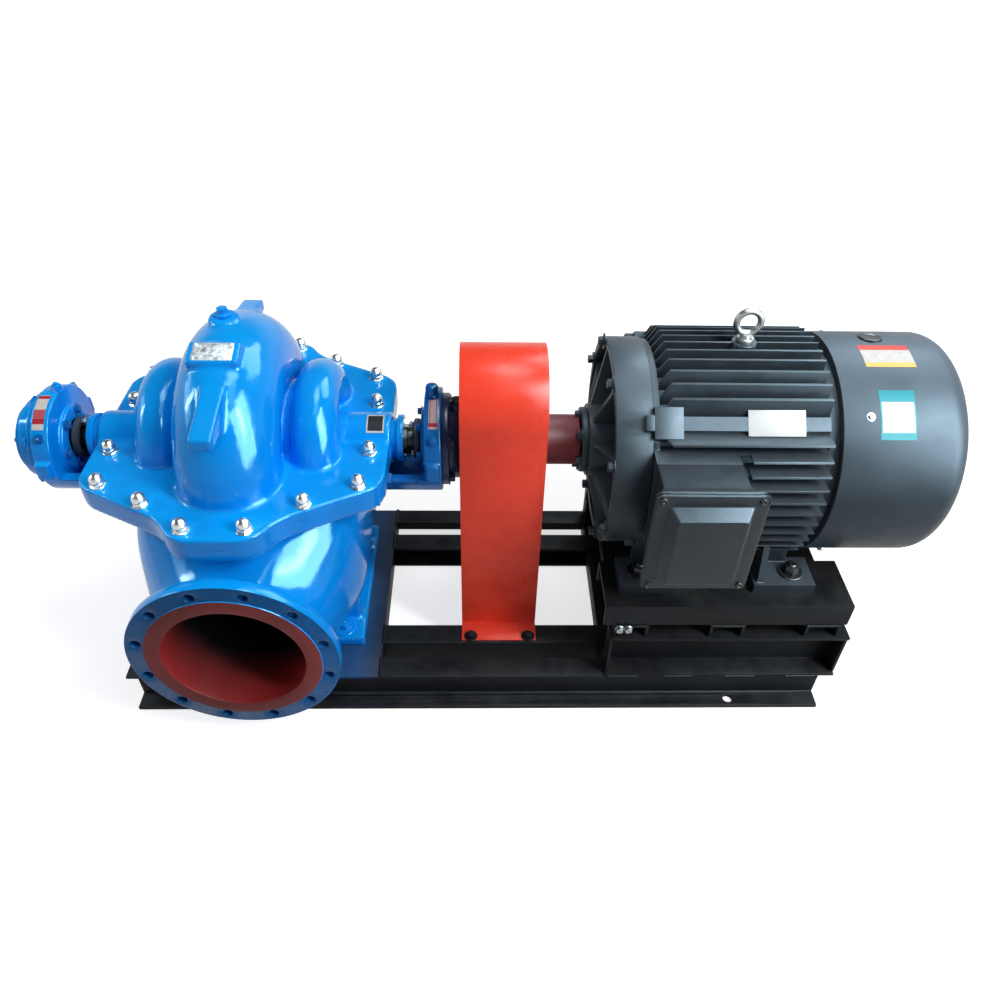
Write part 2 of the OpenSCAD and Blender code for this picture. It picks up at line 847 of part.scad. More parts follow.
module bearing(len) {
    on_pump(bracket_end) difference() {
        union() {
            cylinder(r = housing_rim, h = housing_rim_t);
            cylinder(r = housing_r, h = len);
        }
        translate([0, 0, -cut]) cylinder(r = bore_r, h = len + 2 * cut);
    }
}

module drive_bearing() { color("#1a2233") bearing(housing_len); }
module outboard_bearing() { color(blue) to_outboard() bearing(outboard_len); }

module outboard_cover() {
    color(blue) to_outboard() on_pump(outboard_end) difference() {
        cylinder(r = cover_r, h = cover_t);
        translate([0, 0, -cut]) cylinder(r = shaft_d / 2 + air_gap, h = cover_room + cut);
    }
}

module oil_cup() {
    color("#111111") translate([-pump_dist + bracket_end + cup_x, 0, shaft_z + housing_r + slip_gap])
        cylinder(r = cup_r, h = cup_h);
}

module gland() {
    on_pump(casing_half + gland_gap) difference() {
        union() {
            cylinder(r = gland_r, h = gland_t);
            translate([0, 0, -gland_gap - gland_nose])
                cylinder(r = box_bore - slip_gap, h = gland_gap + gland_nose + cut);
        }
        translate([0, 0, -gland_gap - gland_nose - cut])
            cylinder(r = sleeve_d / 2 + slip_gap, h = gland_gap + gland_nose + gland_t + 2 * cut);
    }
}

module drive_gland() { color(blue) gland(); }
module outboard_gland() { color(blue) to_outboard() gland(); }

// Turning pieces

module pump_shaft() {
    sleeve_end = casing_half + gland_gap + gland_t + sleeve_over;
    drive_end = pump_dist + coupling_x - coupling_gap / 2;
    color("#5a5c5e") {
        on_pump(-sleeve_end) cylinder(d = sleeve_d, h = 2 * sleeve_end);
        on_pump(-outboard_end) cylinder(d = shaft_d, h = outboard_end + drive_end);
    }
}

module pins(len, from) {
    for (i = [0:pin_count - 1])
        rotate([0, 0, i * 360 / pin_count]) translate([pin_pcd / 2, 0, from]) cylinder(d = pin_d, h = len);
}

module coupling_half_pump() {
    color("#6d2a2c") on_shaft(coupling_pump_x) difference() {
        union() {
            cylinder(r = coupling_r, h = coupling_t);
            translate([0, 0, -hub_pump]) cylinder(r = hub_r, h = hub_pump + cut);
        }
        pins(coupling_t + 2 * cut, -cut);
        translate([0, 0, -hub_pump - cut]) cylinder(d = shaft_d, h = hub_pump + coupling_t + 2 * cut);
    }
}

module coupling_half_motor() {
    color("#6d2a2c") on_shaft(coupling_motor_x) difference() {
        union() {
            cylinder(r = coupling_r, h = coupling_t);
            cylinder(r = hub_r, h = coupling_t + hub_motor);
        }
        pins(coupling_t + 2 * cut, -cut);
        translate([0, 0, -cut]) cylinder(d = motor_shaft_d, h = coupling_t + hub_motor + 2 * cut);
    }
}

module coupling_pins() {
    color("#8a8d90") on_shaft(coupling_pump_x) pins(2 * coupling_t + coupling_gap, 0);
}

module guard_section(r) {
    z1 = shaft_z + guard_rise;
    translate([0, z1]) circle(r);
    translate([-r, base_h]) square([2 * r, z1 - base_h]);
}

module coupling_guard() {
    color("#e8392b") {
        along_x(guard_x, guard_len) difference() {
            guard_section(guard_r);
            translate([0, -guard_t]) guard_section(guard_r - guard_t);
            translate([-guard_r, base_h - 2 * guard_t]) square([2 * guard_r, 2 * guard_t]);
        }
        both_y() translate([guard_x, guard_r - guard_t, base_h]) cube([guard_len, guard_foot, guard_t]);
    }
}

// Motor

// Distance from the shaft to the middle of the housing's wall, for what stands off to one side
function wall_x(off) = sqrt(pow(motor_r - motor_wall / 2, 2) - off * off);

// Cooling fins as four sets of parallel plates, cut to a round envelope with a slant at one end
module fins() {
    intersection() {
        union() {
            cylinder(r1 = wall_x(0), r2 = fin_r, h = fin_slant);
            translate([0, 0, fin_slant]) cylinder(r = fin_r, h = motor_len - fin_slant);
        }
        for (a = [0, 90, 180, 270])
            rotate([0, 0, a])
                for (i = [-fin_side:fin_side])
                    translate([wall_x(i * fin_pitch), i * fin_pitch - fin_t / 2, 0])
                        cube([fin_r, fin_t, motor_len]);
    }
}

// End rings, bolt ears and flat bars of the housing
module frame_forms() {
    cylinder(r = motor_r, h = motor_len);
    cylinder(r = ring_r, h = ring_t);
    for (a = [45:90:315])
        rotate([0, 0, a]) {
            ear_x = wall_x(lug_side / 2);
            bar_x = wall_x(bar_w / 2);
            translate([ear_x, -lug_side / 2, 0]) cube([lug_r - ear_x, lug_side, lug_len]);
            translate([bar_x, -bar_w / 2, ring_t]) cube([bar_r - bar_x, bar_w, motor_len - ring_t]);
        }
}

// Foot plates under both ends of the housing, each with a long wall and a cross web
module motor_feet() {
    y0 = feet_ab / 2 - feet_w;
    y1 = feet_ab / 2 - web_set;
    x0 = motor_x + feet_c;
    x1 = x0 + feet_b;
    web0 = x0 + feet_len / 2 + feet_in - web_t - web_set;
    web1 = x1 - feet_len / 2 - feet_in + web_set;
    wall_h = shaft_z - web_drop - pad_top - 2 * cut;
    both_y() {
        difference() {
            for (x = [x0, x1 - feet_in])
                translate([x - feet_len / 2, y0, pad_top]) cube([feet_len + feet_in, feet_w, feet_t]);
            for (x = [x0, x1])
                translate([x, feet_a / 2, pad_top - cut]) cylinder(d = feet_hole, h = feet_t + 2 * cut);
        }
        for (x = [web0, web1])
            along_x(x, web_t)
                polygon([[y0, pad_top + cut], [y1, pad_top + cut], [y1, pad_top + feet_t],
                    [web_y, shaft_z - web_drop], [y0, shaft_z - web_drop]]);
        translate([motor_x + cut, y0 + cut, pad_top + cut])
            cube([web0 + web_t - motor_x - 2 * cut, web_t, wall_h]);
        translate([web1 + cut, y0 + cut, pad_top + cut])
            cube([motor_x1 - web1 - 2 * cut, web_t, wall_h]);
    }
}

module motor_frame() {
    neck_y = wall_x(tbox_neck_h / 2);
    color(motor_grey) difference() {
        union() {
            on_shaft(motor_x) frame_forms();
            difference() {
                on_shaft(motor_x) fins();
                translate([tbox_x - tbox_w / 2, -fin_r - tbox_rim, tbox_z - tbox_h / 2])
                    cube([tbox_w, fin_r + tbox_rim - wall_x(0), tbox_h]);
            }
            motor_feet();
            translate([tbox_x - tbox_neck_w / 2, -saddle_y, tbox_z - tbox_neck_h / 2])
                cube([tbox_neck_w, saddle_y - neck_y, tbox_neck_h]);
            translate([eye_x, 0, shaft_z + wall_x(eye_boss)])
                cylinder(r = eye_boss, h = eye_seat - shaft_z - wall_x(eye_boss));
        }
        on_shaft(motor_x - cut) cylinder(r = motor_r - motor_wall, h = motor_len + 2 * cut);
    }
}

// Dished end shield with a hub, ribs and four bolt ears
module drive_shield() {
    floor_z = shield_depth - shield_rim;
    rim_in = shield_r - shield_t + cut;
    color(motor_grey) on_shaft(motor_x - shield_depth) difference() {
        union() {
            cylinder(r = shield_hub, h = shield_depth);
            translate([0, 0, floor_z]) difference() {
                cylinder(r = shield_r, h = shield_rim);
                translate([0, 0, -cut]) cylinder(r = shield_r - shield_t, h = shield_rim - shield_t + cut);
            }
            for (i = [0:shield_ribs - 1])
                rotate([90, 0, (i + 0.5) * 360 / shield_ribs]) linear_extrude(rib_t, center = true)
                    polygon([[shield_hub - cut, rib_set], [rim_in, floor_z + rib_set],
                        [rim_in, shield_depth - cut], [shield_hub - cut, shield_depth - cut]]);
            for (a = [45:90:315])
                rotate([0, 0, a]) translate([shield_r - shield_t, -lug_side / 4, shield_depth - shield_t])
                    cube([lug_r - shield_r + shield_t, lug_side / 2, shield_t]);
        }
        translate([0, 0, -cut]) cylinder(r = motor_bore, h = shield_depth + 2 * cut);
    }
}

module motor_bearing_cover() {
    color(motor_grey) on_shaft(motor_x - shield_depth - end_cap_t) difference() {
        cylinder(r = shield_hub - rib_set, h = end_cap_t);
        translate([0, 0, -cut]) cylinder(r = motor_shaft_d / 2 + slip_gap, h = end_cap_t + 2 * cut);
    }
}

// End shield behind the housing, with the collar that carries the fan cowl
module rear_shield() {
    color(motor_grey) on_shaft(motor_x1) difference() {
        union() {
            cylinder(r = rear_r, h = rear_t + collar_w);
            translate([0, 0, rear_t]) cylinder(r = cowl_in - slip_gap, h = collar_w);
        }
        translate([0, 0, rear_t]) cylinder(r = rear_r - motor_wall, h = collar_w + cut);
        translate([0, 0, -cut]) cylinder(r = motor_bore, h = rear_t + 2 * cut);
    }
}

module motor_shaft() {
    x0 = coupling_motor_x;
    color("#6b6e71") on_shaft(x0) cylinder(d = motor_shaft_d, h = cowl_x + tail_len - x0);
}

module cooling_fan() {
    color("#202326") on_shaft(cowl_x + fan_x) difference() {
        union() {
            cylinder(r = fan_hub, h = fan_w);
            cylinder(r = fan_r, h = fan_t);
            for (i = [0:fan_blades - 1])
                rotate([0, 0, (i + 0.3) * 360 / fan_blades])
                    translate([fan_hub - 2 * fan_t, -fan_t / 2, fan_t / 2])
                        cube([fan_r - fan_hub + fan_t, fan_t, fan_w - fan_t]);
        }
        translate([0, 0, -cut]) cylinder(d = motor_shaft_d, h = fan_w + 2 * cut);
    }
}

// Slots of the air grille, drawn along Z
module grille() {
    difference() {
        for (i = [0:grille_rings - 1])
            difference() {
                cylinder(r = grille_r + i * grille_step + grille_slot, h = 2 * cowl_t, center = true);
                cylinder(r = grille_r + i * grille_step, h = 4 * cowl_t, center = true);
            }
        for (a = [0:60:120])
            rotate([0, 0, a]) cube([2 * cowl_r, grille_spoke, 6 * cowl_t], center = true);
    }
}

module fan_cowl() {
    r = cowl_r - cowl_round;
    z1 = cowl_len - cowl_round;
    color("#3a4048") on_shaft(cowl_x) difference() {
        rotate_extrude() difference() {
            union() {
                square([cowl_r, z1]);
                square([r, cowl_len]);
                translate([r, z1]) circle(cowl_round);
            }
            translate([-cut, -cut]) square([cowl_in + cut, z1 + cut]);
            translate([-cut, 0]) square([r + cut, cowl_len - cowl_t]);
            translate([r, z1]) circle(cowl_round - cowl_t);
        }
        translate([0, 0, cowl_len - cowl_t / 2]) grille();
    }
}

// Plate with rounded corners in front of the shaft, from y0 towards the shaft
module rim_plate(y0) {
    w = tbox_w / 2;
    h = tbox_h / 2;
    r = tbox_round;
    translate([tbox_x, y0 + tbox_rim, tbox_z]) rotate([90, 0, 0]) linear_extrude(tbox_rim) {
        square([2 * w, 2 * h - 2 * r], center = true);
        square([2 * w - 2 * r, 2 * h], center = true);
        for (x = [-w + r, w - r], z = [-h + r, h - r])
            translate([x, z]) circle(r);
    }
}

// Four-sided block that goes from the size s0 at y0 to the size s1 at y1
module tapered(y0, y1, s0, s1) {
    translate([tbox_x, 0, tbox_z]) intersection() {
        linear_extrude(2 * tbox_h, center = true)
            polygon([[-s0[0] / 2, y0], [s0[0] / 2, y0], [s1[0] / 2, y1], [-s1[0] / 2, y1]]);
        rotate([90, 0, 90]) linear_extrude(2 * tbox_w, center = true)
            polygon([[y0, -s0[1] / 2], [y0, s0[1] / 2], [y1, s1[1] / 2], [y1, -s1[1] / 2]]);
    }
}

module terminal_box() {
    neck = [tbox_neck_w, tbox_neck_h];
    mouth = [tbox_w - 2 * tbox_rim, tbox_h - 2 * tbox_rim];
    color(motor_grey) {
        tapered(-saddle_y, -tbox_y + tbox_flare - cut, neck, neck);
        tapered(-tbox_y + tbox_flare, -tbox_y + tbox_rim - cut, neck, mouth);
        rim_plate(-tbox_y);
    }
}

module terminal_cover() {
    base = [tbox_w - 2 * cover_edge, tbox_h - 2 * cover_edge];
    face = base - 2 * cover_slope * [1, 1];
    color(motor_grey) {
        rim_plate(-tbox_y - tbox_rim);
        tapered(-tbox_y - tbox_rim + cut, -tbox_y - tbox_cover, base, face);
    }
}

module eye_bolt() {
    ring_r = (eye_d - eye_bar) / 2;
    color("#c9ccd0") translate([eye_x, 0, eye_seat]) {
        cylinder(d = eye_collar, h = eye_collar_h);
        cylinder(d = (eye_collar + eye_bar) / 2.5, h = eye_neck + eye_bar / 3);
        translate([0, 0, eye_neck + eye_d / 2]) rotate([90, 0, 0]) rotate_extrude()
            translate([ring_r, 0]) circle(d = eye_bar);
    }
}

outer_rail_front();
outer_rail_back();
inner_rail_front();
inner_rail_back();
cross_members();
pump_bed_plate();
motor_beam_front();
motor_beam_back();
beam_stiffeners();
pedestal_ties();
motor_pad_front();
motor_pad_back();
lower_casing();
upper_casing();
suction_flange();
discharge_flange();
vent_plug();
drive_bracket();
outboard_bracket();
drive_bearing();
outboard_bearing();
outboard_cover();
oil_cup();
drive_gland();
outboard_gland();
pump_shaft();
coupling_half_pump();
coupling_half_motor();
coupling_pins();
coupling_guard();
motor_frame();
drive_shield();
motor_bearing_cover();
rear_shield();
motor_shaft();
cooling_fan();
fan_cowl();
terminal_box();
terminal_cover();
eye_bolt();
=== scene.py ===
import json
import math

import bpy
from bpy.props import FloatProperty, FloatVectorProperty, PointerProperty
from bpy.types import Operator, Panel, PropertyGroup
from mathutils import Matrix, Vector

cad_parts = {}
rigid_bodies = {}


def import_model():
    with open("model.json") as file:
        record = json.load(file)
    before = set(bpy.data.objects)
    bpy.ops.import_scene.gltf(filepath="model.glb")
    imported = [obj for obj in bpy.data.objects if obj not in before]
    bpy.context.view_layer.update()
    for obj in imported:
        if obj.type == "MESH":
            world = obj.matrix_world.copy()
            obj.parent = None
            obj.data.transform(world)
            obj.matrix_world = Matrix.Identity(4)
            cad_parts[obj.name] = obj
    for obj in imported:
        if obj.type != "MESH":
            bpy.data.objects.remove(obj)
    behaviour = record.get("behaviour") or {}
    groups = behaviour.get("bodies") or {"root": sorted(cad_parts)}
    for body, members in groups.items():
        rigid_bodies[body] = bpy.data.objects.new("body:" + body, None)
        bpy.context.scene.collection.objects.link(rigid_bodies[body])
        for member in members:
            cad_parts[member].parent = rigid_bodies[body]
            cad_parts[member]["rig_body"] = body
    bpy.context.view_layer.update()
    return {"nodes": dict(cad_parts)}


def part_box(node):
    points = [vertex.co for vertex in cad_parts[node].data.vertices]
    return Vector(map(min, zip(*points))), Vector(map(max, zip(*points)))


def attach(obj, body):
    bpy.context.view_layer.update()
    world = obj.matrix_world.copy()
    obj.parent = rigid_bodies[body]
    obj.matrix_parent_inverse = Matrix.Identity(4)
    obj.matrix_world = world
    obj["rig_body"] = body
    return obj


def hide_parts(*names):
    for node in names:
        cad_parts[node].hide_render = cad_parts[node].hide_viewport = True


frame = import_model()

bl_info = {
    "name": "Split Case Pump Set",
    "version": (1, 0, 0),
    "blender": (4, 5, 0),
    "location": "3D View > Sidebar > Pump Set",
    "description": "Finishes the castings, guard, motor and base of a split case pump set",
    "category": "Object",
}

MM = 0.001
NODES = frame["nodes"]
MERGE_NEW, MERGE_SOLID = 0.00001, 0.00002
SIDES = (-1, 1)

# Lines and bores that the pieces are set out from, in metres and then in millimetres
SHAFT_Z = sum(corner.z for corner in map(Vector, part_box("pump_shaft"))) / 2
PUMP_X = -0.510
NOZZLE_Z = SHAFT_Z - 0.275
SUCTION_BORE, DISCHARGE_BORE = 0.150, 0.125
SHAFT_MM, PUMP_MM, NOZZLE_MM = SHAFT_Z / MM, PUMP_X / MM, NOZZLE_Z / MM
COWL_MM = 247


# Settings

def colour(name, text, value):
    return FloatVectorProperty(name=name, description=text, default=value, size=3,
                               min=0.0, max=1.0, subtype="COLOR")


def amount(name, text, value, least=0.0, **more):
    return FloatProperty(name=name, description=text, default=value, min=least, **more)


def length(name, text, value):
    return amount(name, text, value, unit="LENGTH")


class PumpPaints(PropertyGroup):
    casing: colour("Casing blue", "Gloss enamel on the pump casing", (0.001, 0.225, 0.74))
    # Painted light: a lighter, bluer casing tone on faces that look up, standing in for light from
    # above.
    painted_top_light: colour("Painted top-light blue", "Casing enamel on faces that look up", (0.001, 0.305, 0.81))
    bracket: colour("Bracket blue", "Enamel on the bearing brackets", (0.003, 0.105, 0.36))
    navy: colour("Bearing navy", "Dark enamel on the drive bearing", (0.012, 0.022, 0.072))
    # Painted light: the face primer is a darker copy for the shaded nozzle faces, the bore primer a
    # lighter copy for the lit bore lips.
    primer: colour("Primer red", "Red oxide primer on the nozzle faces", (0.150, 0.026, 0.026))
    bore: colour("Bore red", "Primer just inside the nozzles, lighter as painted light", (0.300, 0.020, 0.020))
    guard: colour("Guard red", "Gloss enamel on the coupling guard", (0.80, 0.055, 0.026))
    maroon: colour("Coupling maroon", "Primer on the coupling halves", (0.200, 0.034, 0.040))
    motor: colour("Motor grey", "Satin enamel on the motor frame", (0.023, 0.030, 0.038))
    cowl: colour("Cowl grey", "Satin enamel on the fan cowl", (0.030, 0.040, 0.050))
    # Painted shade: the box grey is darker than the motor grey, standing in for the dim light on
    # the box's front.
    box: colour("Box grey", "Satin enamel on the terminal box", (0.016, 0.018, 0.020))
    base: colour("Base black", "Enamel on the steel base", (0.007, 0.008, 0.010))
    zinc: colour("Bright zinc", "Plated nuts and bolts", (0.66, 0.66, 0.65))
    dust: colour("Dust", "Pale dust that settles on level faces", (0.30, 0.29, 0.27))


class PumpSizes(PropertyGroup):
    split_nut: length("Split nut", "Width across flats of the casing nuts", 0.027)
    foot_bolt: length("Foot bolt", "Width across flats of the foot bolts", 0.030)
    cover_bolt: length("Cover bolt", "Width across flats of the cover bolts", 0.017)
    casting_grain: length("Casting grain", "Mesh size of the casing skins", 0.0042)
    bead: length("Weld bead", "Width of the weld beads on the base", 0.009)


class PumpStage(PropertyGroup):
    floor: colour("Floor", "Pale studio floor", (0.60, 0.60, 0.60))
    key: amount("Key light", "Tall soft light on the right", 120.0, unit="POWER")
    side: amount("Side light", "Narrow soft light on the left", 28.0, unit="POWER")
    panel: amount("Panels", "Brightness of the panels seen in the gloss", 26.0)
    fill: amount("Fill", "Level of the surrounding light", 0.24, max=1.0)
    lens: amount("Lens", "Focal length of the camera", 29.71, 1.0, unit="CAMERA")


# Handling of pieces

def let_go():
    """Leave edit mode and deselect everything."""
    if bpy.context.object and bpy.context.object.mode != "OBJECT":
        bpy.ops.object.mode_set(mode="OBJECT")
    bpy.ops.object.select_all(action="DESELECT")


def hold(piece):
    """Make one piece the only selected one."""
    let_go()
    piece.select_set(True)
    bpy.context.view_layer.objects.active = piece
    return piece


def pick(piece, wanted, edges=False):
    """Enter edit mode with the faces or edges that pass a test selected."""
    hold(piece)
    mesh = piece.data
    for group in (mesh.vertices, mesh.edges, mesh.polygons):
        group.foreach_set("select", [False] * len(group))
    if edges:
        for edge in mesh.edges:
            a, b = (mesh.vertices[i].co for i in edge.vertices)
            edge.select = wanted((a + b) / 2, (b - a).normalized())
    else:
        for face in mesh.polygons:
            face.select = wanted(face.center, face.normal)
    bpy.context.tool_settings.mesh_select_mode = (False, edges, not edges)
    bpy.ops.object.mode_set(mode="EDIT")


def pick_all(piece):
    hold(piece)
    bpy.context.tool_settings.mesh_select_mode = (True, False, False)
    bpy.ops.object.mode_set(mode="EDIT")
    bpy.ops.mesh.select_all(action="SELECT")


def done(piece):
    """Leave edit mode and set the piece's place into its mesh."""
    hold(piece)
    bpy.ops.object.transform_apply(location=True, rotation=True, scale=True)
    return piece


def apply_modifier(piece, modifier):
    hold(piece)
    bpy.ops.object.modifier_apply(modifier=modifier.name)


def named(piece, name):
    piece.name = name
    piece.data.name = name
    return piece


def joined(pieces, name):
    let_go()
    for piece in pieces:
        piece.select_set(True)
    bpy.context.view_layer.objects.active = pieces[0]
    if len(pieces) > 1:
        bpy.ops.object.join()
    return done(named(bpy.context.active_object, name))


def smooth(piece, angle=35):
    hold(piece)
    bpy.ops.object.shade_smooth_by_angle(angle=math.radians(angle))


def coat(piece, finish):
    piece.data.materials.clear()
    piece.data.materials.append(bpy.data.materials[finish])


def fit(piece, finish, body="root", angle=35):
    """Shade and paint a new piece and let it ride on a body."""
    smooth(piece, angle)
    coat(piece, finish)
    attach(piece, body)


def stand(x, y, z, up=(0, 0, 1), turn=0.0):
    """Place for something modelled upright at the origin; sizes in millimetres."""
    tilt = Vector(up).to_track_quat("Z", "Y").to_matrix().to_4x4()
    spin = Matrix.Rotation(math.radians(turn), 4, "Z")
    return Matrix.Translation(Vector((x, y, z)) * MM) @ tilt @ spin


def set_out(template, name, places):
    """Copy one modelled thing to each place and join the copies."""
    made = []
    for place in places:
        hold(template)
        bpy.ops.object.duplicate(linked=False)
        copy = bpy.context.active_object
        copy.matrix_world = place
        made.append(copy)
    bpy.data.objects.remove(template)
    return joined(made, name)


# Modelling of shapes, with sizes in millimetres

def turned(name, outline, steps=32):
    """Turn an outline of (radius, height) points about the upright axis."""
    let_go()
    first = Vector((outline[0][0], 0, outline[0][1])) * MM
    bpy.ops.mesh.primitive_plane_add(size=MM, location=first)
    piece = named(bpy.context.active_object, name)
    done(piece)
    pick_all(piece)
    bpy.ops.mesh.merge(type="CENTER")
    for (r0, z0), (r1, z1) in zip(outline, outline[1:]):
        move = Vector((r1 - r0, 0, z1 - z0)) * MM
        bpy.ops.mesh.extrude_region_move(TRANSFORM_OT_translate={"value": move})
    bpy.ops.mesh.select_all(action="SELECT")
    bpy.ops.mesh.spin(steps=steps, angle=math.tau, center=(0, 0, 0), axis=(0, 0, 1))
    bpy.ops.mesh.select_all(action="SELECT")
    bpy.ops.mesh.remove_doubles(threshold=MERGE_NEW)
    bpy.ops.mesh.normals_make_consistent(inside=False)
    return done(piece)


def hexagon(name, across, height, base=0.0):
    """Hexagon head with its top corners turned off."""
    let_go()
    bpy.ops.mesh.primitive_cylinder_add(vertices=6, radius=across / math.sqrt(3) * MM,
                                        depth=height * MM,
                                        location=(0, 0, (base + height / 2) * MM))
    piece = done(named(bpy.context.active_object, name))
    pick(piece, lambda centre, normal: normal.z > 0.9)
    chamfer = across * 0.07
    bpy.ops.mesh.bevel(offset=chamfer * MM, segments=2, affect="EDGES")
    return done(piece)


def hex_bolt(name, across, head=None, washer=None, stem=0.0):
    """Hexagon bolt head on a washer, with the end of its thread where it shows."""
    head = head or across * 0.62
    washer = washer or across * 0.95
    thick = across * 0.12
    parts = [turned(name + "_washer", [(0, 0), (washer, 0), (washer, thick * 0.7),
                                       (washer - thick * 0.3, thick), (0, thick)], 24),
             hexagon(name + "_head", across, head, thick)]
    if stem:
        r, chamfer, sunk = across * 0.3, 1.5, 1
        top = thick + head
        parts.append(turned(name + "_stem", [(0, top - sunk), (r, top - sunk),
                                             (r, top + stem - chamfer),
                                             (r - chamfer, top + stem), (0, top + stem)], 16))
    return joined(parts, name)


def acorn_nut(name, across):
    """Domed nut on a washer."""
    washer, thick, edge = 17, 1.8, 0.4
    flats, middle, r = 7, 14.5, across * 0.53
    rim = [(0, 0), (washer - edge, 0), (washer, edge), (washer, thick - edge),
           (washer - edge, thick), (0, thick)]
    turns = [math.radians(d) for d in (-38, -24, -10, 0, 12, 24, 36, 48, 60, 72, 82)]
    dome = [(r * math.cos(a), middle + r * math.sin(a)) for a in turns]
    parts = [turned(name + "_washer", rim, 28),
             hexagon(name + "_flats", across, flats, thick),
             turned(name + "_dome", [(0, 5), *dome, (0, middle + r)], 28)]
    return joined(parts, name)


def bare_plate(name, wide, high, thick, corner, rivet_x, rivet_y):
    """Thin plate lying flat at the origin with rounded corners and four rivet heads."""
    let_go()
    bpy.ops.mesh.primitive_cube_add(size=1, location=(0, 0, thick / 2 * MM),
                                    scale=(wide * MM, high * MM, thick * MM))
    piece = done(named(bpy.context.active_object, name))
    pick(piece, lambda middle, along: abs(along.z) > 0.9, edges=True)
    bpy.ops.mesh.bevel(offset=corner * MM, segments=4, affect="EDGES")
    done(piece)
    pick(piece, lambda centre, normal: normal.z > 0.9)
    bpy.ops.mesh.bevel(offset=min(0.5, thick * 0.4) * MM, segments=2, affect="EDGES")
    done(piece)
    head = turned(name + "_rivet", [(0, thick - 0.2), (2.6, thick - 0.2), (2.3, thick + 0.9),
                                    (1.3, thick + 1.5), (0, thick + 1.6)], 12)
    heads = set_out(head, name + "_rivets", [stand(sx * rivet_x, sy * rivet_y, 0)
                                             for sx in SIDES for sy in SIDES])
    return joined([piece, heads], name)


def round_sheet(name, radius, x0, x1, low, high, thick=0.5):
    """Sheet laid round the shaft line; angles run from the back over the top."""
    let_go()
    bpy.ops.mesh.primitive_cylinder_add(vertices=240, radius=radius * MM, depth=(x1 - x0) * MM,
                                        end_fill_type="NOTHING",
                                        rotation=(0, math.radians(90), 0),
                                        location=((x0 + x1) / 2 * MM, 0, SHAFT_Z))
    piece = done(named(bpy.context.active_object, name))

    def outside(centre, normal):
        angle = math.degrees(math.atan2(centre.z - SHAFT_Z, centre.y)) % 360
        return not low <= angle <= high
    pick(piece, outside)
    bpy.ops.mesh.delete(type="FACE")
    done(piece)
    wall = piece.modifiers.new("Thickness", "SOLIDIFY")
    wall.thickness = thick * MM
    wall.offset = 1.0
    apply_modifier(piece, wall)
    return piece


def weld_bead(name, run, width, seed):
    """Rippled bead standing upright at the origin."""
    pitch, ripple = 3.5, 1.2
    let_go()
    bpy.ops.mesh.primitive_circle_add(vertices=10, radius=width * 0.42 * MM, fill_type="NGON")
    piece = named(bpy.context.active_object, name)
    pick_all(piece)
    steps = int(run / pitch)
    for step in range(steps):
        move = (0, 0, run / steps * MM)
        bpy.ops.mesh.extrude_region_move(TRANSFORM_OT_translate={"value": move})
        swell = ripple if step % 2 == 0 else 1 / ripple
        bpy.ops.transform.resize(value=(swell, swell, 1))
    bpy.ops.mesh.select_all(action="SELECT")
    bpy.ops.transform.vertex_random(offset=width * 0.05 * MM, seed=seed)
    bpy.ops.mesh.normals_make_consistent(inside=False)
    return done(piece)


def ring_places(x, radius, count, outward, first=0.0):
    """Places for bolts on a circle round the shaft, facing along it, each head turned on."""
    places = []
    for i in range(count):
        angle = math.radians(first + 360 * i / count)
        places.append(stand(x, radius * math.cos(angle), SHAFT_MM + radius * math.sin(angle),
                            up=(outward, 0, 0), turn=17 * i))
    return places


def bolts(name, finish, places, across, head=None, washer=None, stem=0.0):
    """Set out one kind of bolt and let it ride."""
    made = set_out(hex_bolt(name + "_one", across, head, washer, stem), name, places)
    fit(made, finish)


# Copies of the solids

def copy_of(node, name):
    """Loose copy of a solid with its triangles merged."""
    hold(NODES[node])
    bpy.ops.object.duplicate(linked=False)
    piece = named(bpy.context.active_object, name)
    piece.parent = None
    for key in [key for key in piece.keys() if key.startswith("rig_")]:
        del piece[key]
    bpy.ops.mesh.customdata_custom_splitnormals_clear()
    pick_all(piece)
    bpy.ops.mesh.remove_doubles(threshold=MERGE_SOLID)
    let_go()
    return hold(piece)


def stands_for(piece, node):
    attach(piece, NODES[node]["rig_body"])
    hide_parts(node)


def dress(node, finish, width=1.5, segments=2, others=(), where=None):
    """Copy a solid, round its edges and paint it.

    Other finishes go on the faces that a test numbers from 1 on.
    """
    flat, sharp = math.radians(0.6), math.radians(30)
    piece = copy_of(node, node + "_finished")
    pick_all(piece)
    bpy.ops.mesh.dissolve_limited(angle_limit=flat)
    bpy.ops.mesh.select_all(action="SELECT")
    bpy.ops.mesh.quads_convert_to_tris(quad_method="BEAUTY", ngon_method="BEAUTY")
    let_go()
    edges = piece.modifiers.new("Edges", "BEVEL")
    edges.width = width * MM
    edges.segments = segments
    edges.limit_method = "ANGLE"
    edges.angle_limit = sharp
    edges.use_clamp_overlap = False
    apply_modifier(piece, edges)
    smooth(piece)
    coat(piece, finish)
    for other in others:
        piece.data.materials.append(bpy.data.materials[other])
    if where:
        for face in piece.data.polygons:
            face.material_index = where(face.center, face.normal)
    stands_for(piece, node)


def soften(piece, name, passes, weight):
    """Relax a skin where a weight from 0 to 1 says so."""
    group = piece.vertex_groups.new(name=name)
    shares = {}
    for vertex in piece.data.vertices:
        share = round(weight(vertex.co), 1)
        if share > 0:
            shares.setdefault(share, []).append(vertex.index)
    for share, indices in shares.items():
        group.add(indices, share, "REPLACE")
    relax = piece.modifiers.new(name, "SMOOTH")
    relax.factor = 0.5
    relax.iterations = passes
    relax.vertex_group = name
    apply_modifier(piece, relax)
    piece.vertex_groups.clear()


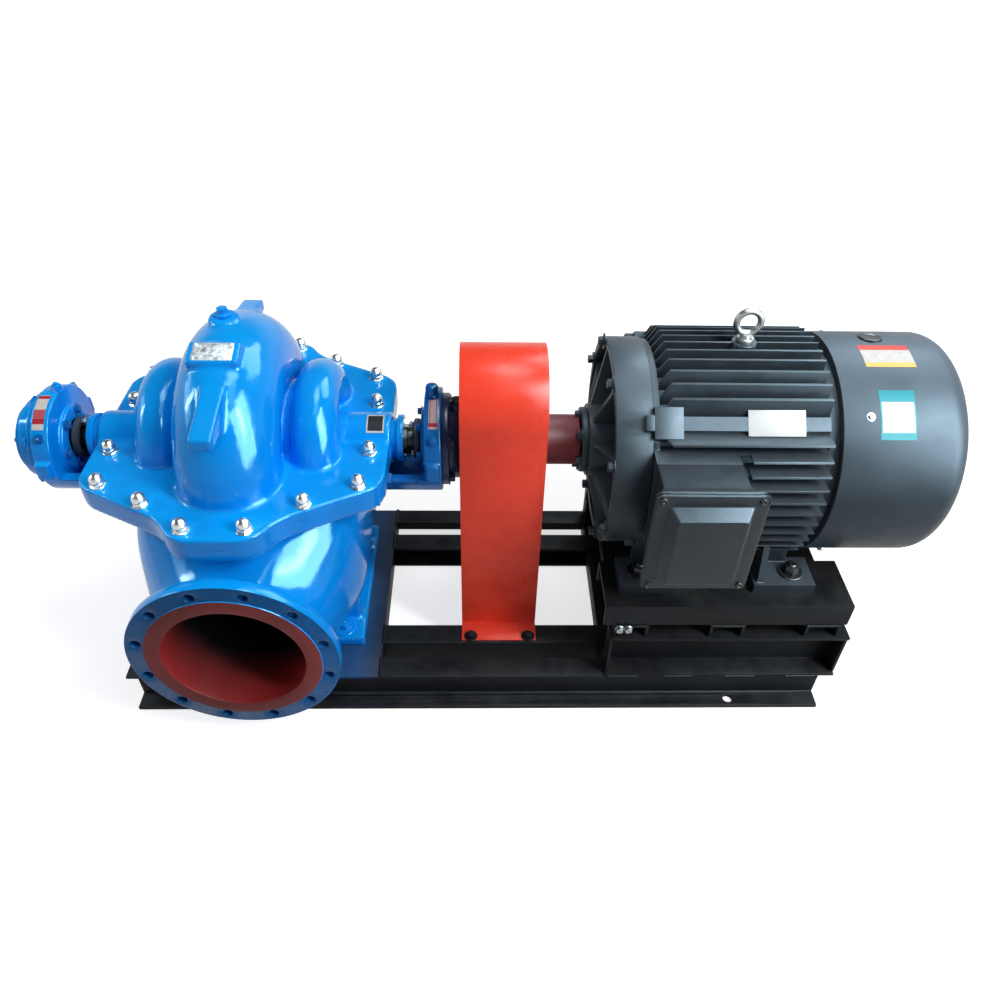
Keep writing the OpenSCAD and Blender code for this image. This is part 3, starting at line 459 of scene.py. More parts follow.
def cast_skin(node, name, grain):
    """Copy of a casting with an even mesh that can be softened."""
    piece = copy_of(node, name)
    skin = piece.modifiers.new("Skin", "REMESH")
    skin.mode = "VOXEL"
    skin.voxel_size = grain
    apply_modifier(piece, skin)
    return piece


def between(value, low, high):
    """0 below low, 1 above high, with an even ramp between."""
    return max(0.0, min(1.0, (value - low) / (high - low)))


# Finishes

def node_tree(name):
    material = bpy.data.materials.new(name)
    material.use_nodes = True
    tree = material.node_tree
    return tree, tree.nodes["Principled BSDF"]


def noise(tree, coordinates, scale, detail=3.0, rough=0.55):
    node = tree.nodes.new("ShaderNodeTexNoise")
    node.inputs["Scale"].default_value = scale
    node.inputs["Detail"].default_value = detail
    node.inputs["Roughness"].default_value = rough
    tree.links.new(coordinates, node.inputs["Vector"])
    return node.outputs["Fac"]


def spread(tree, value, low, high, to_low=0.0, to_high=1.0):
    node = tree.nodes.new("ShaderNodeMapRange")
    node.inputs["From Min"].default_value = low
    node.inputs["From Max"].default_value = high
    node.inputs["To Min"].default_value = to_low
    node.inputs["To Max"].default_value = to_high
    tree.links.new(value, node.inputs["Value"])
    return node.outputs["Result"]


def reckon(tree, operation, one, two):
    node = tree.nodes.new("ShaderNodeMath")
    node.operation = operation
    tree.links.new(one, node.inputs[0])
    tree.links.new(two, node.inputs[1])
    return node.outputs[0]


def blend_colours(tree, factor, one, two):
    """Mix two colours, each given as numbers or as another node's output."""
    node = tree.nodes.new("ShaderNodeMix")
    node.data_type = "RGBA"
    tree.links.new(factor, node.inputs[0])
    for socket, value in ((node.inputs[6], one), (node.inputs[7], two)):
        if isinstance(value, bpy.types.NodeSocket):
            tree.links.new(value, socket)
        else:
            socket.default_value = (*value[:3], 1.0)
    return node.outputs[2]


def lift(tree, shader, height, strength, distance):
    node = tree.nodes.new("ShaderNodeBump")
    node.inputs["Strength"].default_value = strength
    node.inputs["Distance"].default_value = distance
    tree.links.new(height, node.inputs["Height"])
    tree.links.new(node.outputs["Normal"], shader.inputs["Normal"])


def object_coordinates(tree):
    return tree.nodes.new("ShaderNodeTexCoord").outputs["Object"]


def three_parts(tree, vector):
    node = tree.nodes.new("ShaderNodeSeparateXYZ")
    tree.links.new(vector, node.inputs[0])
    return node.outputs


def length_of(tree, vector):
    node = tree.nodes.new("ShaderNodeVectorMath")
    node.operation = "LENGTH"
    tree.links.new(vector, node.inputs[0])
    return node.outputs["Value"]


def level_faces(tree, low, high):
    """0 on upright faces, 1 on faces that look up."""
    normal = tree.nodes.new("ShaderNodeNewGeometry").outputs["True Normal"]
    return spread(tree, three_parts(tree, normal)["Z"], low, high)


def reach(tree, place, centre, stretch, low, high):
    """0 to 1 as the stretched distance from a point goes from low to high."""
    shift = tree.nodes.new("ShaderNodeVectorMath")
    shift.operation = "MULTIPLY_ADD"
    tree.links.new(place, shift.inputs[0])
    shift.inputs[1].default_value = stretch
    shift.inputs[2].default_value = [-a * b for a, b in zip(centre, stretch)]
    return spread(tree, length_of(tree, shift.outputs["Vector"]), low, high)


def shade_of(value, factor):
    return tuple(min(1.0, part * factor) for part in value[:3])


def paint(name, tone, rough, specular, peel, cloud, dust=0.0, chips=None,
          glint=(1.0, 1.0, 1.0), painted_top_light=None, second=None):
    """Brushed or sprayed paint with uneven tone and gloss, settled dust and small chips, painted
    top light on faces that look up, and a second tone by distance.
    """
    tree, shader = node_tree(name)
    place = object_coordinates(tree)
    broad = spread(tree, noise(tree, place, scale=4.5, detail=4.0), 0.35, 0.65)
    skin = blend_colours(tree, broad, shade_of(tone, 1 - cloud), shade_of(tone, 1 + cloud))
    # Painted light: faces that look up blend to a lighter tone, as if lit from above; on the greys
    # it is a bluish sheen.
    if painted_top_light:
        skin = blend_colours(tree, level_faces(tree, 0.1, 0.95), skin, painted_top_light)
    # A second tone by distance from a point: painted shade deep in the bores, a blue tint on the
    # bed plate.
    if second:
        other, *where = second
        skin = blend_colours(tree, reach(tree, place, *where), skin, other)
    if dust:
        specks = noise(tree, place, scale=14.0, detail=6.0, rough=0.65)
        patches = spread(tree, specks, 0.38, 0.72, to_high=dust)
        settled = reckon(tree, "MULTIPLY", level_faces(tree, 0.35, 0.95), patches)
        skin = blend_colours(tree, settled, skin, bpy.context.scene.pump_paints.dust)
    if chips:
        marks = spread(tree, noise(tree, place, scale=62.0, detail=5.0, rough=0.7), 0.69, 0.73)
        skin = blend_colours(tree, marks, skin, chips)
    tree.links.new(skin, shader.inputs["Base Color"])
    gloss = noise(tree, place, scale=22.0, detail=5.0, rough=0.6)
    tree.links.new(spread(tree, gloss, 0.3, 0.7, max(0.02, rough - 0.07), rough + 0.10),
                   shader.inputs["Roughness"])
    peel_scale, peel_strength = peel
    lift(tree, shader, noise(tree, place, peel_scale), peel_strength, distance=0.0012)
    shader.inputs["Specular IOR Level"].default_value = specular
    shader.inputs["Specular Tint"].default_value = (*glint, 1.0)


def bare_metal(name, tone, rough, dull=0.85, marks=0.06):
    """Plated or machined steel with fine marks and dull patches."""
    tree, shader = node_tree(name)
    place = object_coordinates(tree)
    patches = spread(tree, noise(tree, place, scale=55.0, detail=5.0, rough=0.6), 0.35, 0.7)
    tree.links.new(blend_colours(tree, patches, shade_of(tone, 1.05), shade_of(tone, dull)),
                   shader.inputs["Base Color"])
    gloss = noise(tree, place, scale=130.0, detail=4.0)
    tree.links.new(spread(tree, gloss, 0.3, 0.7, rough * 0.75, rough * 1.35),
                   shader.inputs["Roughness"])
    lift(tree, shader, noise(tree, place, scale=420.0, detail=2.0), marks, distance=0.0005)
    shader.inputs["Metallic"].default_value = 1.0


def banded_label(name, ground, bands):
    """Plain label with bands of colour: axis, two ends in millimetres and tone."""
    edge = 0.6
    tree, shader = node_tree(name)
    place = object_coordinates(tree)
    parts = three_parts(tree, place)
    speck = spread(tree, noise(tree, place, scale=130.0, detail=4.0), 0.35, 0.7)
    skin = blend_colours(tree, speck, ground, shade_of(ground, 0.82))
    for axis, low, high, tone in bands:
        rise = spread(tree, parts[axis], (low - edge) * MM, (low + edge) * MM)
        fall = spread(tree, parts[axis], (high - edge) * MM, (high + edge) * MM, 1.0, 0.0)
        skin = blend_colours(tree, reckon(tree, "MULTIPLY", rise, fall), skin, tone)
    tree.links.new(skin, shader.inputs["Base Color"])
    tree.links.new(spread(tree, speck, 0.0, 1.0, 0.36, 0.5), shader.inputs["Roughness"])
    shader.inputs["Specular IOR Level"].default_value = 0.12


class PUMPSET_OT_finishes(Operator):
    """Mix the paints, platings and label films"""
    bl_idname = "pumpset.finishes"
    bl_label = "Finishes"

    def execute(self, context):
        tones = context.scene.pump_paints
        self.paints(tones)
        self.metals(tones)
        self.labels()
        return {"FINISHED"}

    def paints(self, tones):
        """Paints; a second tone has its colour, centre, stretch and two distances."""
        cool, sky = (0.45, 0.85, 1.0), (0.72, 0.88, 1.0)
        worn = (0.035, 0.033, 0.031)
        # Painted shade: the bore primer darkens to near black from the nozzle mouths inwards.
        painted_bore_shade = ((0.008, 0.006, 0.007), (PUMP_X, 0, 0), (0, 1, 0), 0.405, 0.27)
        # Blue tint on the bed plate within 0.225 m of the pump's middle along the base, gone by
        # 0.285 m.
        blue_tint_near_pump = ((0.002, 0.048, 0.150), (PUMP_X, 0, 0), (1, 0, 0), 0.285, 0.225)
        paint("casing enamel", tones.casing, rough=0.10, specular=0.30, peel=(75.0, 0.22),
              cloud=0.12, dust=0.02, glint=cool, painted_top_light=tones.painted_top_light)
        # Painted shade: a darker copy of the bracket blue for the flanges' front faces round the
        # raised face and their bolt holes.
        paint("shaded flange enamel", shade_of(tones.bracket, 0.6), rough=0.30, specular=0.2,
              peel=(120.0, 0.2), cloud=0.2, dust=0.02, glint=cool)
        paint("bracket enamel", tones.bracket, rough=0.18, specular=0.30, peel=(120.0, 0.2),
              cloud=0.18, dust=0.03, glint=cool)
        paint("navy enamel", tones.navy, rough=0.22, specular=0.25, peel=(120.0, 0.18),
              cloud=0.3, dust=0.05)
        paint("oxide primer", tones.primer, rough=0.50, specular=0.10, peel=(160.0, 0.3),
              cloud=0.25, dust=0.03)
        paint("bore primer", tones.bore, rough=0.48, specular=0.10, peel=(160.0, 0.3),
              cloud=0.22, second=painted_bore_shade)
        paint("guard enamel", tones.guard, rough=0.25, specular=0.16, peel=(46.0, 0.10),
              cloud=0.06, dust=0.02)
        paint("coupling primer", tones.maroon, rough=0.42, specular=0.2, peel=(150.0, 0.25),
              cloud=0.3, dust=0.05)
        # The tones for faces that look up on the motor, box and cowl are painted light: a pale
        # bluish sheen on their tops.
        paint("motor enamel", tones.motor, rough=0.42, specular=0.24, peel=(190.0, 0.20),
              cloud=0.2, dust=0.06, glint=sky, painted_top_light=(0.042, 0.056, 0.070))
        # Painted shade: the terminal box gets a darker grey than the motor frame for its dim front.
        paint("box enamel", tones.box, rough=0.36, specular=0.28, peel=(190.0, 0.16),
              cloud=0.2, dust=0.05, glint=sky, painted_top_light=(0.034, 0.044, 0.056))
        paint("cowl enamel", tones.cowl, rough=0.40, specular=0.15, peel=(190.0, 0.12),
              cloud=0.14, dust=0.04, glint=sky, painted_top_light=(0.080, 0.108, 0.140))
        paint("base enamel", tones.base, rough=0.42, specular=0.09, peel=(110.0, 0.25),
              cloud=0.3, dust=0.05, chips=worn)
        paint("bed enamel", tones.base, rough=0.42, specular=0.12, peel=(110.0, 0.25),
              cloud=0.3, dust=0.05, chips=worn, second=blue_tint_near_pump)
        paint("black plastic", (0.010, 0.010, 0.011), rough=0.30, specular=0.35,
              peel=(200.0, 0.12), cloud=0.25, dust=0.05)
        paint("fan plastic", (0.014, 0.014, 0.015), rough=0.45, specular=0.30,
              peel=(160.0, 0.15), cloud=0.25, dust=0.05)
        paint("white plate", (0.60, 0.62, 0.63), rough=0.35, specular=0.3, peel=(300.0, 0.05),
              cloud=0.06, dust=0.03)

    def metals(self, tones):
        bare_metal("bright zinc", tones.zinc, rough=0.25)
        bare_metal("dull zinc", shade_of(tones.zinc, 0.40), rough=0.36)
        bare_metal("machined steel", (0.46, 0.46, 0.45), rough=0.26)
        bare_metal("oily steel", (0.052, 0.053, 0.055), rough=0.40, dull=0.6, marks=0.12)
        bare_metal("blank plate", (0.58, 0.60, 0.61), rough=0.50, dull=0.9, marks=0.03)

    def labels(self):
        white, red, cyan = (0.58, 0.56, 0.54), (0.36, 0.015, 0.03), (0.0, 0.27, 0.33)
        pale_red, scarlet, amber = (0.42, 0.07, 0.09), (0.62, 0.05, 0.03), (0.78, 0.50, 0.10)
        banded_label("dark plate", (0.02, 0.02, 0.024),
                     [("X", -244, -241, white), ("X", -208, -205, white),
                      ("Y", 1, 5, white), ("Y", -41, -37.5, white)])
        banded_label("bearing label", white,
                     [("Y", -20, -11, red), ("Y", -66, -48, pale_red), ("Y", -76, -66, red)])
        banded_label("drive label", (0.52, 0.42, 0.43),
                     [("X", -102, -100, red), ("X", -88, -86, red),
                      ("Y", -15, -11, red), ("Y", -77, -70, red)])
        banded_label("red band label", white, [("Y", -12, 12, scarlet), ("Y", -70, -52, amber)])
        # Painted light: this label's white is lighter than the other labels' white, making up for
        # the dim light where it sits on the cowl.
        banded_label("blue band label", shade_of(white, 1.35),
                     [("Y", -140, -110, cyan), ("Y", -200, -187, cyan),
                      ("X", 806, 814.5, cyan), ("X", 880.5, 890, cyan)])


class PUMPSET_OT_stage(Operator):
    """Lay the floor, hang the lights and set up the camera"""
    bl_idname = "pumpset.stage"
    bl_label = "Stage"

    # Name, place, aim, width and height in metres, setting and share of it
    lamps = (("overhead", (0.3, 0.3, 3.8), (0.0, 0.0, 0.5), 1.2, 1.0, "key", 0.3),
             ("right", (2.45, -1.8, 3.1), (-0.3, -0.1, 0.6), 0.55, 2.0, "key", 1.0),
             ("left", (-3.25, -0.05, 2.1), (-0.5, -0.1, 0.65), 0.3, 1.0, "side", 1.0))
    # Name, place, aim, width and height in metres, share of the panels' brightness
    panels = (("right_window", (2.6, -1.8, 2.5), (-0.4, -0.2, 0.6), 2.4, 4.0, 1.2),
              ("left_window", (-3.2, 0.1, 1.8), (-0.5, -0.2, 0.6), 1.7, 0.7, 0.22),
              ("roof_light", (0.4, 0.0, 3.4), (0.2, 0.0, 0.6), 2.6, 0.9, 0.22),
              ("back_window", (1.8, 1.64, 2.96), (0.65, -0.2, 0.75), 1.9, 1.7, 0.5))
    panel_tone = (0.76, 0.93, 1.0)
    camera_place = (0.0037, -1.5022, 1.7016)
    camera_turn = {"yaw": 2.001, "pitch": 41.461, "roll": -1.509}

    def execute(self, context):
        stage = context.scene.pump_stage
        context.scene.view_settings.view_transform = "Standard"
        self.floor(stage)
        self.world(context, stage)
        for name, place, aim, wide, high, setting, share in self.lamps:
            self.lamp(name, place, aim, wide, high, getattr(stage, setting) * share)
        for name, place, aim, wide, high, share in self.panels:
            self.panel(name, place, aim, wide, high, stage.panel * share)
        self.camera(context, stage)
        return {"FINISHED"}

    def floor(self, stage):
        """Floor that shows white away from the pump set and keeps its shadow."""
        radius, rim = 9.0, 3.0
        let_go()
        bpy.ops.mesh.primitive_circle_add(vertices=96, radius=radius, fill_type="NGON")
        floor = named(bpy.context.active_object, "studio_floor")
        pick_all(floor)
        bpy.ops.mesh.inset(thickness=rim)
        done(floor)
        tree, shader = node_tree("studio floor")
        place = object_coordinates(tree)
        tone = noise(tree, place, scale=1.3, detail=2.0)
        tree.links.new(blend_colours(tree, tone, stage.floor, shade_of(stage.floor, 0.97)),
                       shader.inputs["Base Color"])
        shader.inputs["Roughness"].default_value = 0.9
        shader.inputs["Specular IOR Level"].default_value = 0.1
        rays = tree.nodes.new("ShaderNodeLightPath").outputs
        shader.inputs["Emission Color"].default_value = (1.0, 1.0, 1.0, 1.0)
        glow = spread(tree, length_of(tree, place), 1.2, 3.0, 0.70, 1.0)
        share = spread(tree, rays["Is Glossy Ray"], 0.0, 1.0, 1.0, 0.6)
        shown = reckon(tree, "MULTIPLY", self.seen(tree, rays), glow)
        tree.links.new(reckon(tree, "MULTIPLY", shown, share),
                       shader.inputs["Emission Strength"])
        coat(floor, "studio floor")

    def seen(self, tree, rays):
        """1 for rays from the camera, from reflections and through glass."""
        total = rays["Is Camera Ray"]
        for other in ("Is Glossy Ray", "Is Transmission Ray"):
            total = reckon(tree, "MAXIMUM", total, rays[other])
        return total

    def world(self, context, stage):
        """White backdrop, darker overhead in the gloss, with an even fill light."""
        world = bpy.data.worlds.new("studio")
        world.use_nodes = True
        tree = world.node_tree
        ground = tree.nodes["Background"]
        ground.inputs["Color"].default_value = (1.0, 1.0, 1.0, 1.0)
        rays = tree.nodes.new("ShaderNodeLightPath").outputs
        way = tree.nodes.new("ShaderNodeTexCoord").outputs["Generated"]
        darker = spread(tree, three_parts(tree, way)["Z"], 0.15, 0.5, 1.0, 0.10)
        backdrop = reckon(tree, "MAXIMUM", rays["Is Camera Ray"], darker)
        level = tree.nodes.new("ShaderNodeMapRange")
        level.inputs["To Min"].default_value = stage.fill
        tree.links.new(self.seen(tree, rays), level.inputs["Value"])
        tree.links.new(backdrop, level.inputs["To Max"])
        tree.links.new(level.outputs["Result"], ground.inputs["Strength"])
        context.scene.world = world

    def lamp(self, name, place, target, wide, high, power):
        let_go()
        bpy.ops.object.light_add(type="AREA", location=place)
        lamp = bpy.context.active_object
        lamp.name = name
        lamp.data.shape = "RECTANGLE"
        lamp.data.size = wide
        lamp.data.size_y = high
        lamp.data.energy = power
        aim = Vector(target) - Vector(place)
        lamp.rotation_euler = aim.to_track_quat("-Z", "Y").to_euler()
        lamp.visible_camera = False
        return lamp

    def panel(self, name, place, target, wide, high, brightness):
        """Bright panel that shows in glossy paint and metal without adding light."""
        lamp = self.lamp(name, place, target, wide, high, brightness * math.pi * wide * high)
        lamp.data.color = self.panel_tone
        lamp.visible_diffuse = False

    def camera(self, context, stage):
        let_go()
        yaw, pitch, roll = (math.radians(self.camera_turn[a]) for a in ("yaw", "pitch", "roll"))
        ahead = Vector((math.sin(yaw) * math.cos(pitch), math.cos(yaw) * math.cos(pitch),
                        -math.sin(pitch)))
        right = Vector((math.cos(yaw), -math.sin(yaw), 0.0))
        down = ahead.cross(right)
        across = math.cos(roll) * right + math.sin(roll) * down
        below = -math.sin(roll) * right + math.cos(roll) * down
        turn = Matrix((across, -below, -ahead)).transposed().to_4x4()
        bpy.ops.object.camera_add()
        camera = bpy.context.active_object
        camera.name = "camera"
        camera.matrix_world = Matrix.Translation(self.camera_place) @ turn
        camera.data.sensor_fit = "HORIZONTAL"
        camera.data.sensor_width = 36.0
        camera.data.lens = stage.lens
        camera.data.clip_end = 100.0
        context.scene.camera = camera


class PUMPSET_OT_casing(Operator):
    """Round the two casing halves as castings and coat their water ways"""
    bl_idname = "pumpset.casing"
    bl_label = "Casing halves"

    # Distances from the split face at which the softening starts and is full
    crisp, full = 0.006, 0.014
    slab = 0.008
    # Distances from the pump's middle to the nozzles' mouths, blind ends and the core between
    mouth, blind, core = 0.365, 0.30, 0.10

    def execute(self, context):
        grain = context.scene.pump_sizes.casting_grain
        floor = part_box("lower_casing")[0][2]

        def upper_soft(point):
            return between(point.z, SHAFT_Z + self.crisp, SHAFT_Z + self.full)

        def lower_soft(point):
            top = 1 - between(point.z, SHAFT_Z - self.full, SHAFT_Z - self.crisp)
            foot = between(point.z, floor + 0.002, floor + 0.006)
            ends = 1 - between(abs(point.y), 0.374, 0.380)
            return top * foot * ends

        def belly_soft(point):
            rim = 1 - between(point.z, SHAFT_Z - 0.075, SHAFT_Z - 0.045)
            foot = between(point.z, floor + 0.09, floor + 0.15)
            near = 1 - between(abs(point.x - PUMP_X), 0.245, 0.29)
            ends = 1 - between(abs(point.y), 0.33, 0.37)
            return rim * foot * near * ends

        self.half("upper_casing", 1, grain, (("fillets", 7, upper_soft),))
        lower = self.half("lower_casing", -1, grain * 1.4,
                          (("belly", 40, belly_soft), ("fillets", 7, lower_soft)))
        lower.data.materials.append(bpy.data.materials["bore primer"])
        for face in lower.data.polygons:
            face.material_index = int(self.water_way(face.center, face.normal))
        return {"FINISHED"}

    def half(self, node, side, grain, passes):
        """One casing half: an even skin, softened, with its split face kept sharp."""
        name = node + "_finished"
        piece = cast_skin(node, name, grain)
        for area, count, weight in passes:
            soften(piece, area, count, weight)
        piece = joined([piece, self.joint_slab(node, side)], name)
        smooth(piece, 60)
        coat(piece, "casing enamel")
        stands_for(piece, node)
        return piece

    def joint_slab(self, node, side):
        """Thin sharp slab of a casing half along the split face."""
        slab = copy_of(node, node + "_joint")
        pick_all(slab)
        bpy.ops.mesh.bisect(plane_co=(0, 0, SHAFT_Z + side * self.slab), plane_no=(0, 0, side),
                            use_fill=True, clear_outer=True)
        return done(slab)

    def water_way(self, centre, normal):
        """Whether a face belongs to a nozzle's bore, its mouth or its blind end."""
        away = abs(centre.y)
        out = Vector((centre.x - PUMP_X, 0, centre.z - NOZZLE_Z))
        bore = SUCTION_BORE if centre.y < 0 else DISCHARGE_BORE
        end = away > self.mouth or abs(normal.y) > 0.7 and away < self.blind
        room = 0.007 if end else 0.002
        return away > self.core and out.length < bore + room and (end or normal.dot(out) < 0)


class PUMPSET_OT_nozzles(Operator):
    """Dress the suction and discharge flanges, blue outside and primed inside"""
    bl_idname = "pumpset.nozzles"
    bl_label = "Nozzle flanges"

    # The flange enamel is painted shade on the front faces round the raised face and in the bolt
    # holes.
    others = ("bore primer", "shaded flange enamel", "oxide primer")
    outside, bore_coat, step_coat, face_coat = range(4)
    # Depths of the raised face and the step behind it, edge of the bore, reach of a bolt hole
    skin, step, edge, hole = 0.0015, 0.008, 0.004, 0.0135

    def execute(self, context):
        for node, bore, circle in (("suction_flange", SUCTION_BORE, 0.200),
                                   ("discharge_flange", DISCHARGE_BORE, 0.175)):
            face = max(abs(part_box(node)[0][1]), abs(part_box(node)[1][1]))

            def coats(centre, normal):
                return self.coat_number(centre, normal, bore, circle, face)
            dress(node, "casing enamel", width=1.6, others=self.others, where=coats)
            self.lining(node, bore / MM, face / MM)
        return {"FINISHED"}

    def coat_number(self, centre, normal, bore, circle, face):
        """Which coat a face gets, by its place on the raised face, bore or bolt circle."""
        out = math.hypot(centre.x - PUMP_X, centre.z - NOZZLE_Z)
        depth = face - abs(centre.y)
        if abs(normal.y) > 0.9:
            if depth < self.skin:
                return self.face_coat
            return self.step_coat if depth < self.step else self.outside
        if out < bore + self.edge:
            return self.bore_coat
        return self.step_coat if abs(out - circle) < self.hole else self.outside

    def lining(self, node, bore, face):
        """Coat of primer that runs from the flange into the casing."""
        mouth, proud, deep = 4, 26, 186
        inner, outer = bore - 1.8, bore - 1.3
        outline = [(bore - 0.3, mouth), (inner, proud), (inner, deep), (outer, deep),
                   (outer, proud), (bore - 0.1, mouth), (bore - 0.3, mouth)]
        way = 1 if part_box(node)[0][1] < 0 else -1
        name = node.replace("flange", "lining")
        sleeve = set_out(turned(name + "_one", outline, 128), name,
                         [stand(PUMP_MM, -way * face, NOZZLE_MM, up=(0, way, 0))])
        fit(sleeve, "bore primer")


class PUMPSET_OT_split_nuts(Operator):
    """Put domed nuts round the split flange"""
    bl_idname = "pumpset.split_nuts"
    bl_label = "Split nuts"

    def execute(self, context):
        across = context.scene.pump_sizes.split_nut / MM
        flange_top = SHAFT_MM + 30
        spots = [(sx * x, sy * y) for x, y in ((61, 335), (162, 260), (265, 202), (277, 90))
                 for sx in SIDES for sy in SIDES]
        places = [stand(PUMP_MM + x, y, flange_top, turn=37 * i)
                  for i, (x, y) in enumerate(spots)]
        nuts = set_out(acorn_nut("split_nut", across), "split_nuts", places)
        fit(nuts, "bright zinc")
        return {"FINISHED"}


class PUMPSET_OT_fittings(Operator):
    """Dress the vent plug and rivet the blank plates on the casing"""
    bl_idname = "pumpset.fittings"
    bl_label = "Casing fittings"

    def execute(self, context):
        dress("vent_plug", "casing enamel", width=1.0)
        plate = bare_plate("casing_plate", wide=80, high=45, thick=1.2, corner=3,
                           rivet_x=35, rivet_y=18)
        seat = stand(-518, -90.1, 838.3, up=(0, -0.2924, 0.9563))
        fit(set_out(plate, "casing_plate", [seat]), "blank plate")
        plate = round_sheet("box_plate", radius=60.2, x0=-244, x1=-205, low=86, high=132,
                            thick=0.9)
        fit(plate, "dark plate")
        plug = hex_bolt("belly_plug", across=26, head=15, washer=19)
        plug = set_out(plug, "belly_plug", [stand(-258, 38, 338, up=(1, 0, 0))])
        fit(plug, "casing enamel")
        return {"FINISHED"}


class PUMPSET_OT_bearings(Operator):
    """Dress the brackets and bearing housings and bolt their covers"""
    bl_idname = "pumpset.bearings"
    bl_label = "Bearings"

    def execute(self, context):
        for node, finish, width, segments in (("drive_bracket", "bracket enamel", 4.0, 3),
                                              ("outboard_bracket", "casing enamel", 4.0, 3),
                                              ("drive_bearing", "navy enamel", 2.0, 2),
                                              ("outboard_bearing", "casing enamel", 2.0, 2),
                                              ("outboard_cover", "casing enamel", 2.0, 2),
                                              ("oil_cup", "black plastic", 1.5, 2)):
            dress(node, finish, width, segments)
        self.cover_bolts(context.scene.pump_sizes.cover_bolt / MM)
        self.strips_and_plugs()
        self.skirts()
        self.cup_boss()
        return {"FINISHED"}

    def cover_bolts(self, across):
        bolts("drive_flange_bolts", "navy enamel",
              ring_places(x=-61, radius=95, count=6, outward=1, first=30), across)
        bolts("outboard_flange_bolts", "casing enamel",
              ring_places(x=-959, radius=95, count=6, outward=-1, first=30),
              across * 0.8, head=across * 0.36)
        bolts("inner_cap_bolts", "bracket enamel",
              ring_places(x=-124, radius=62, count=6, outward=-1)
              + ring_places(x=-896, radius=62, count=6, outward=1), across * 0.8)
        bolts("end_cover_bolts", "casing enamel",
              ring_places(x=-997, radius=60, count=6, outward=-1, first=30),
              across * 0.7, head=across * 0.3)
        ears = [stand(x, side * 96, SHAFT_MM + 65, up=(0, side * 0.83, 0.56))
                for x in (-96, -924) for side in SIDES]
        bolts("bracket_ear_bolts", "bracket enamel", ears,
              across=16, head=8, washer=11, stem=5)

    def strips_and_plugs(self):
        """Labels on the two housings, the oil cap and the outboard plug."""
        strip = round_sheet("drive_strip", radius=117.1, x0=-104, x1=-84, low=94, high=133)
        fit(strip, "drive label")
        strip = round_sheet("outboard_strip", radius=117.1, x0=-938, x1=-914, low=94, high=136)
        fit(strip, "bearing label")
        cap = turned("oil_cap", [(0, 0), (16, 0), (16, 5), (14, 7), (14, 22), (12.5, 27),
                                 (8, 30), (0, 31)])
        cap = set_out(cap, "oil_cap", [stand(-98, 0, SHAFT_MM + 116)])
        fit(cap, "bracket enamel")
        bolts("bracket_plug", "casing enamel", [stand(-910, 14, SHAFT_MM + 115)],
              across=17, head=13, washer=12, stem=5)

    def skirts(self):
        """Troughs that carry the brackets on under the split flange."""
        for name, x0, x1, finish, slot in (
                ("drive_skirt", -256, -189, "bracket enamel", "bracket_blue"),
                ("outboard_skirt", -831, -764, "casing enamel", "casing_blue")):
            skirt = round_sheet(name, radius=93, x0=x0, x1=x1, low=199, high=341, thick=24)
            fit(skirt, finish)

    def cup_boss(self):
        boss = turned("cup_boss", [(0, -2), (19, -2), (19, 3), (14, 11), (12.5, 13), (0, 13)])
        low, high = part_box("oil_cup")
        foot = stand((low[0] + high[0]) / 2 / MM, 0, low[2] / MM)
        fit(set_out(boss, "cup_boss", [foot]), "navy enamel")


class PUMPSET_OT_glands(Operator):
    """Dress the packing glands"""
    bl_idname = "pumpset.glands"
    bl_label = "Glands"

    def execute(self, context):
        for node in ("drive_gland", "outboard_gland"):
            dress(node, "casing enamel")
        places = [stand(x, 0, SHAFT_MM + z, up=(way, 0, 0))
                  for x, way in ((-164, 1), (-856, -1)) for z in (-43, 43)]
        bolts("gland_nuts", "bright zinc", places,
              across=17, head=11, washer=13, stem=6)
        return {"FINISHED"}


class PUMPSET_OT_shaft(Operator):
    """Dress the shafts, coupling halves, pins and fan that turn together"""
    bl_idname = "pumpset.shaft"
    bl_label = "Shaft and coupling"

    def execute(self, context):
        for node, finish, width in (("pump_shaft", "oily steel", 1.0),
                                    ("motor_shaft", "oily steel", 1.0),
                                    ("coupling_half_pump", "coupling primer", 2.0),
                                    ("coupling_half_motor", "coupling primer", 2.0),
                                    ("coupling_pins", "machined steel", 1.0),
                                    ("cooling_fan", "fan plastic", 1.0)):
            dress(node, finish, width)
        bore, rim, wide, edge = 34.5, 46, 14, 2
        ring = turned("slinger", [(bore, 0), (rim - 3, 0), (rim, edge), (rim, wide - edge),
                                  (rim - 3, wide), (bore, wide), (bore, 0)], 48)
        rings = set_out(ring, "slinger_rings", [stand(-142, 0, SHAFT_MM, up=(1, 0, 0)),
                                                stand(-878, 0, SHAFT_MM, up=(-1, 0, 0))])
        fit(rings, "motor enamel", "rotor")
        return {"FINISHED"}


class PUMPSET_OT_guard(Operator):
    """Dress the bent sheet guard over the coupling"""
    bl_idname = "pumpset.guard"
    bl_label = "Coupling guard"

    def execute(self, context):
        dress("coupling_guard", "guard enamel", width=0.9)
        places = [stand(x, side * 176, 73, turn=x) for x in (-14, 129) for side in SIDES]
        bolts("guard_bolts", "base enamel", places, across=19, head=9, washer=17)
        return {"FINISHED"}


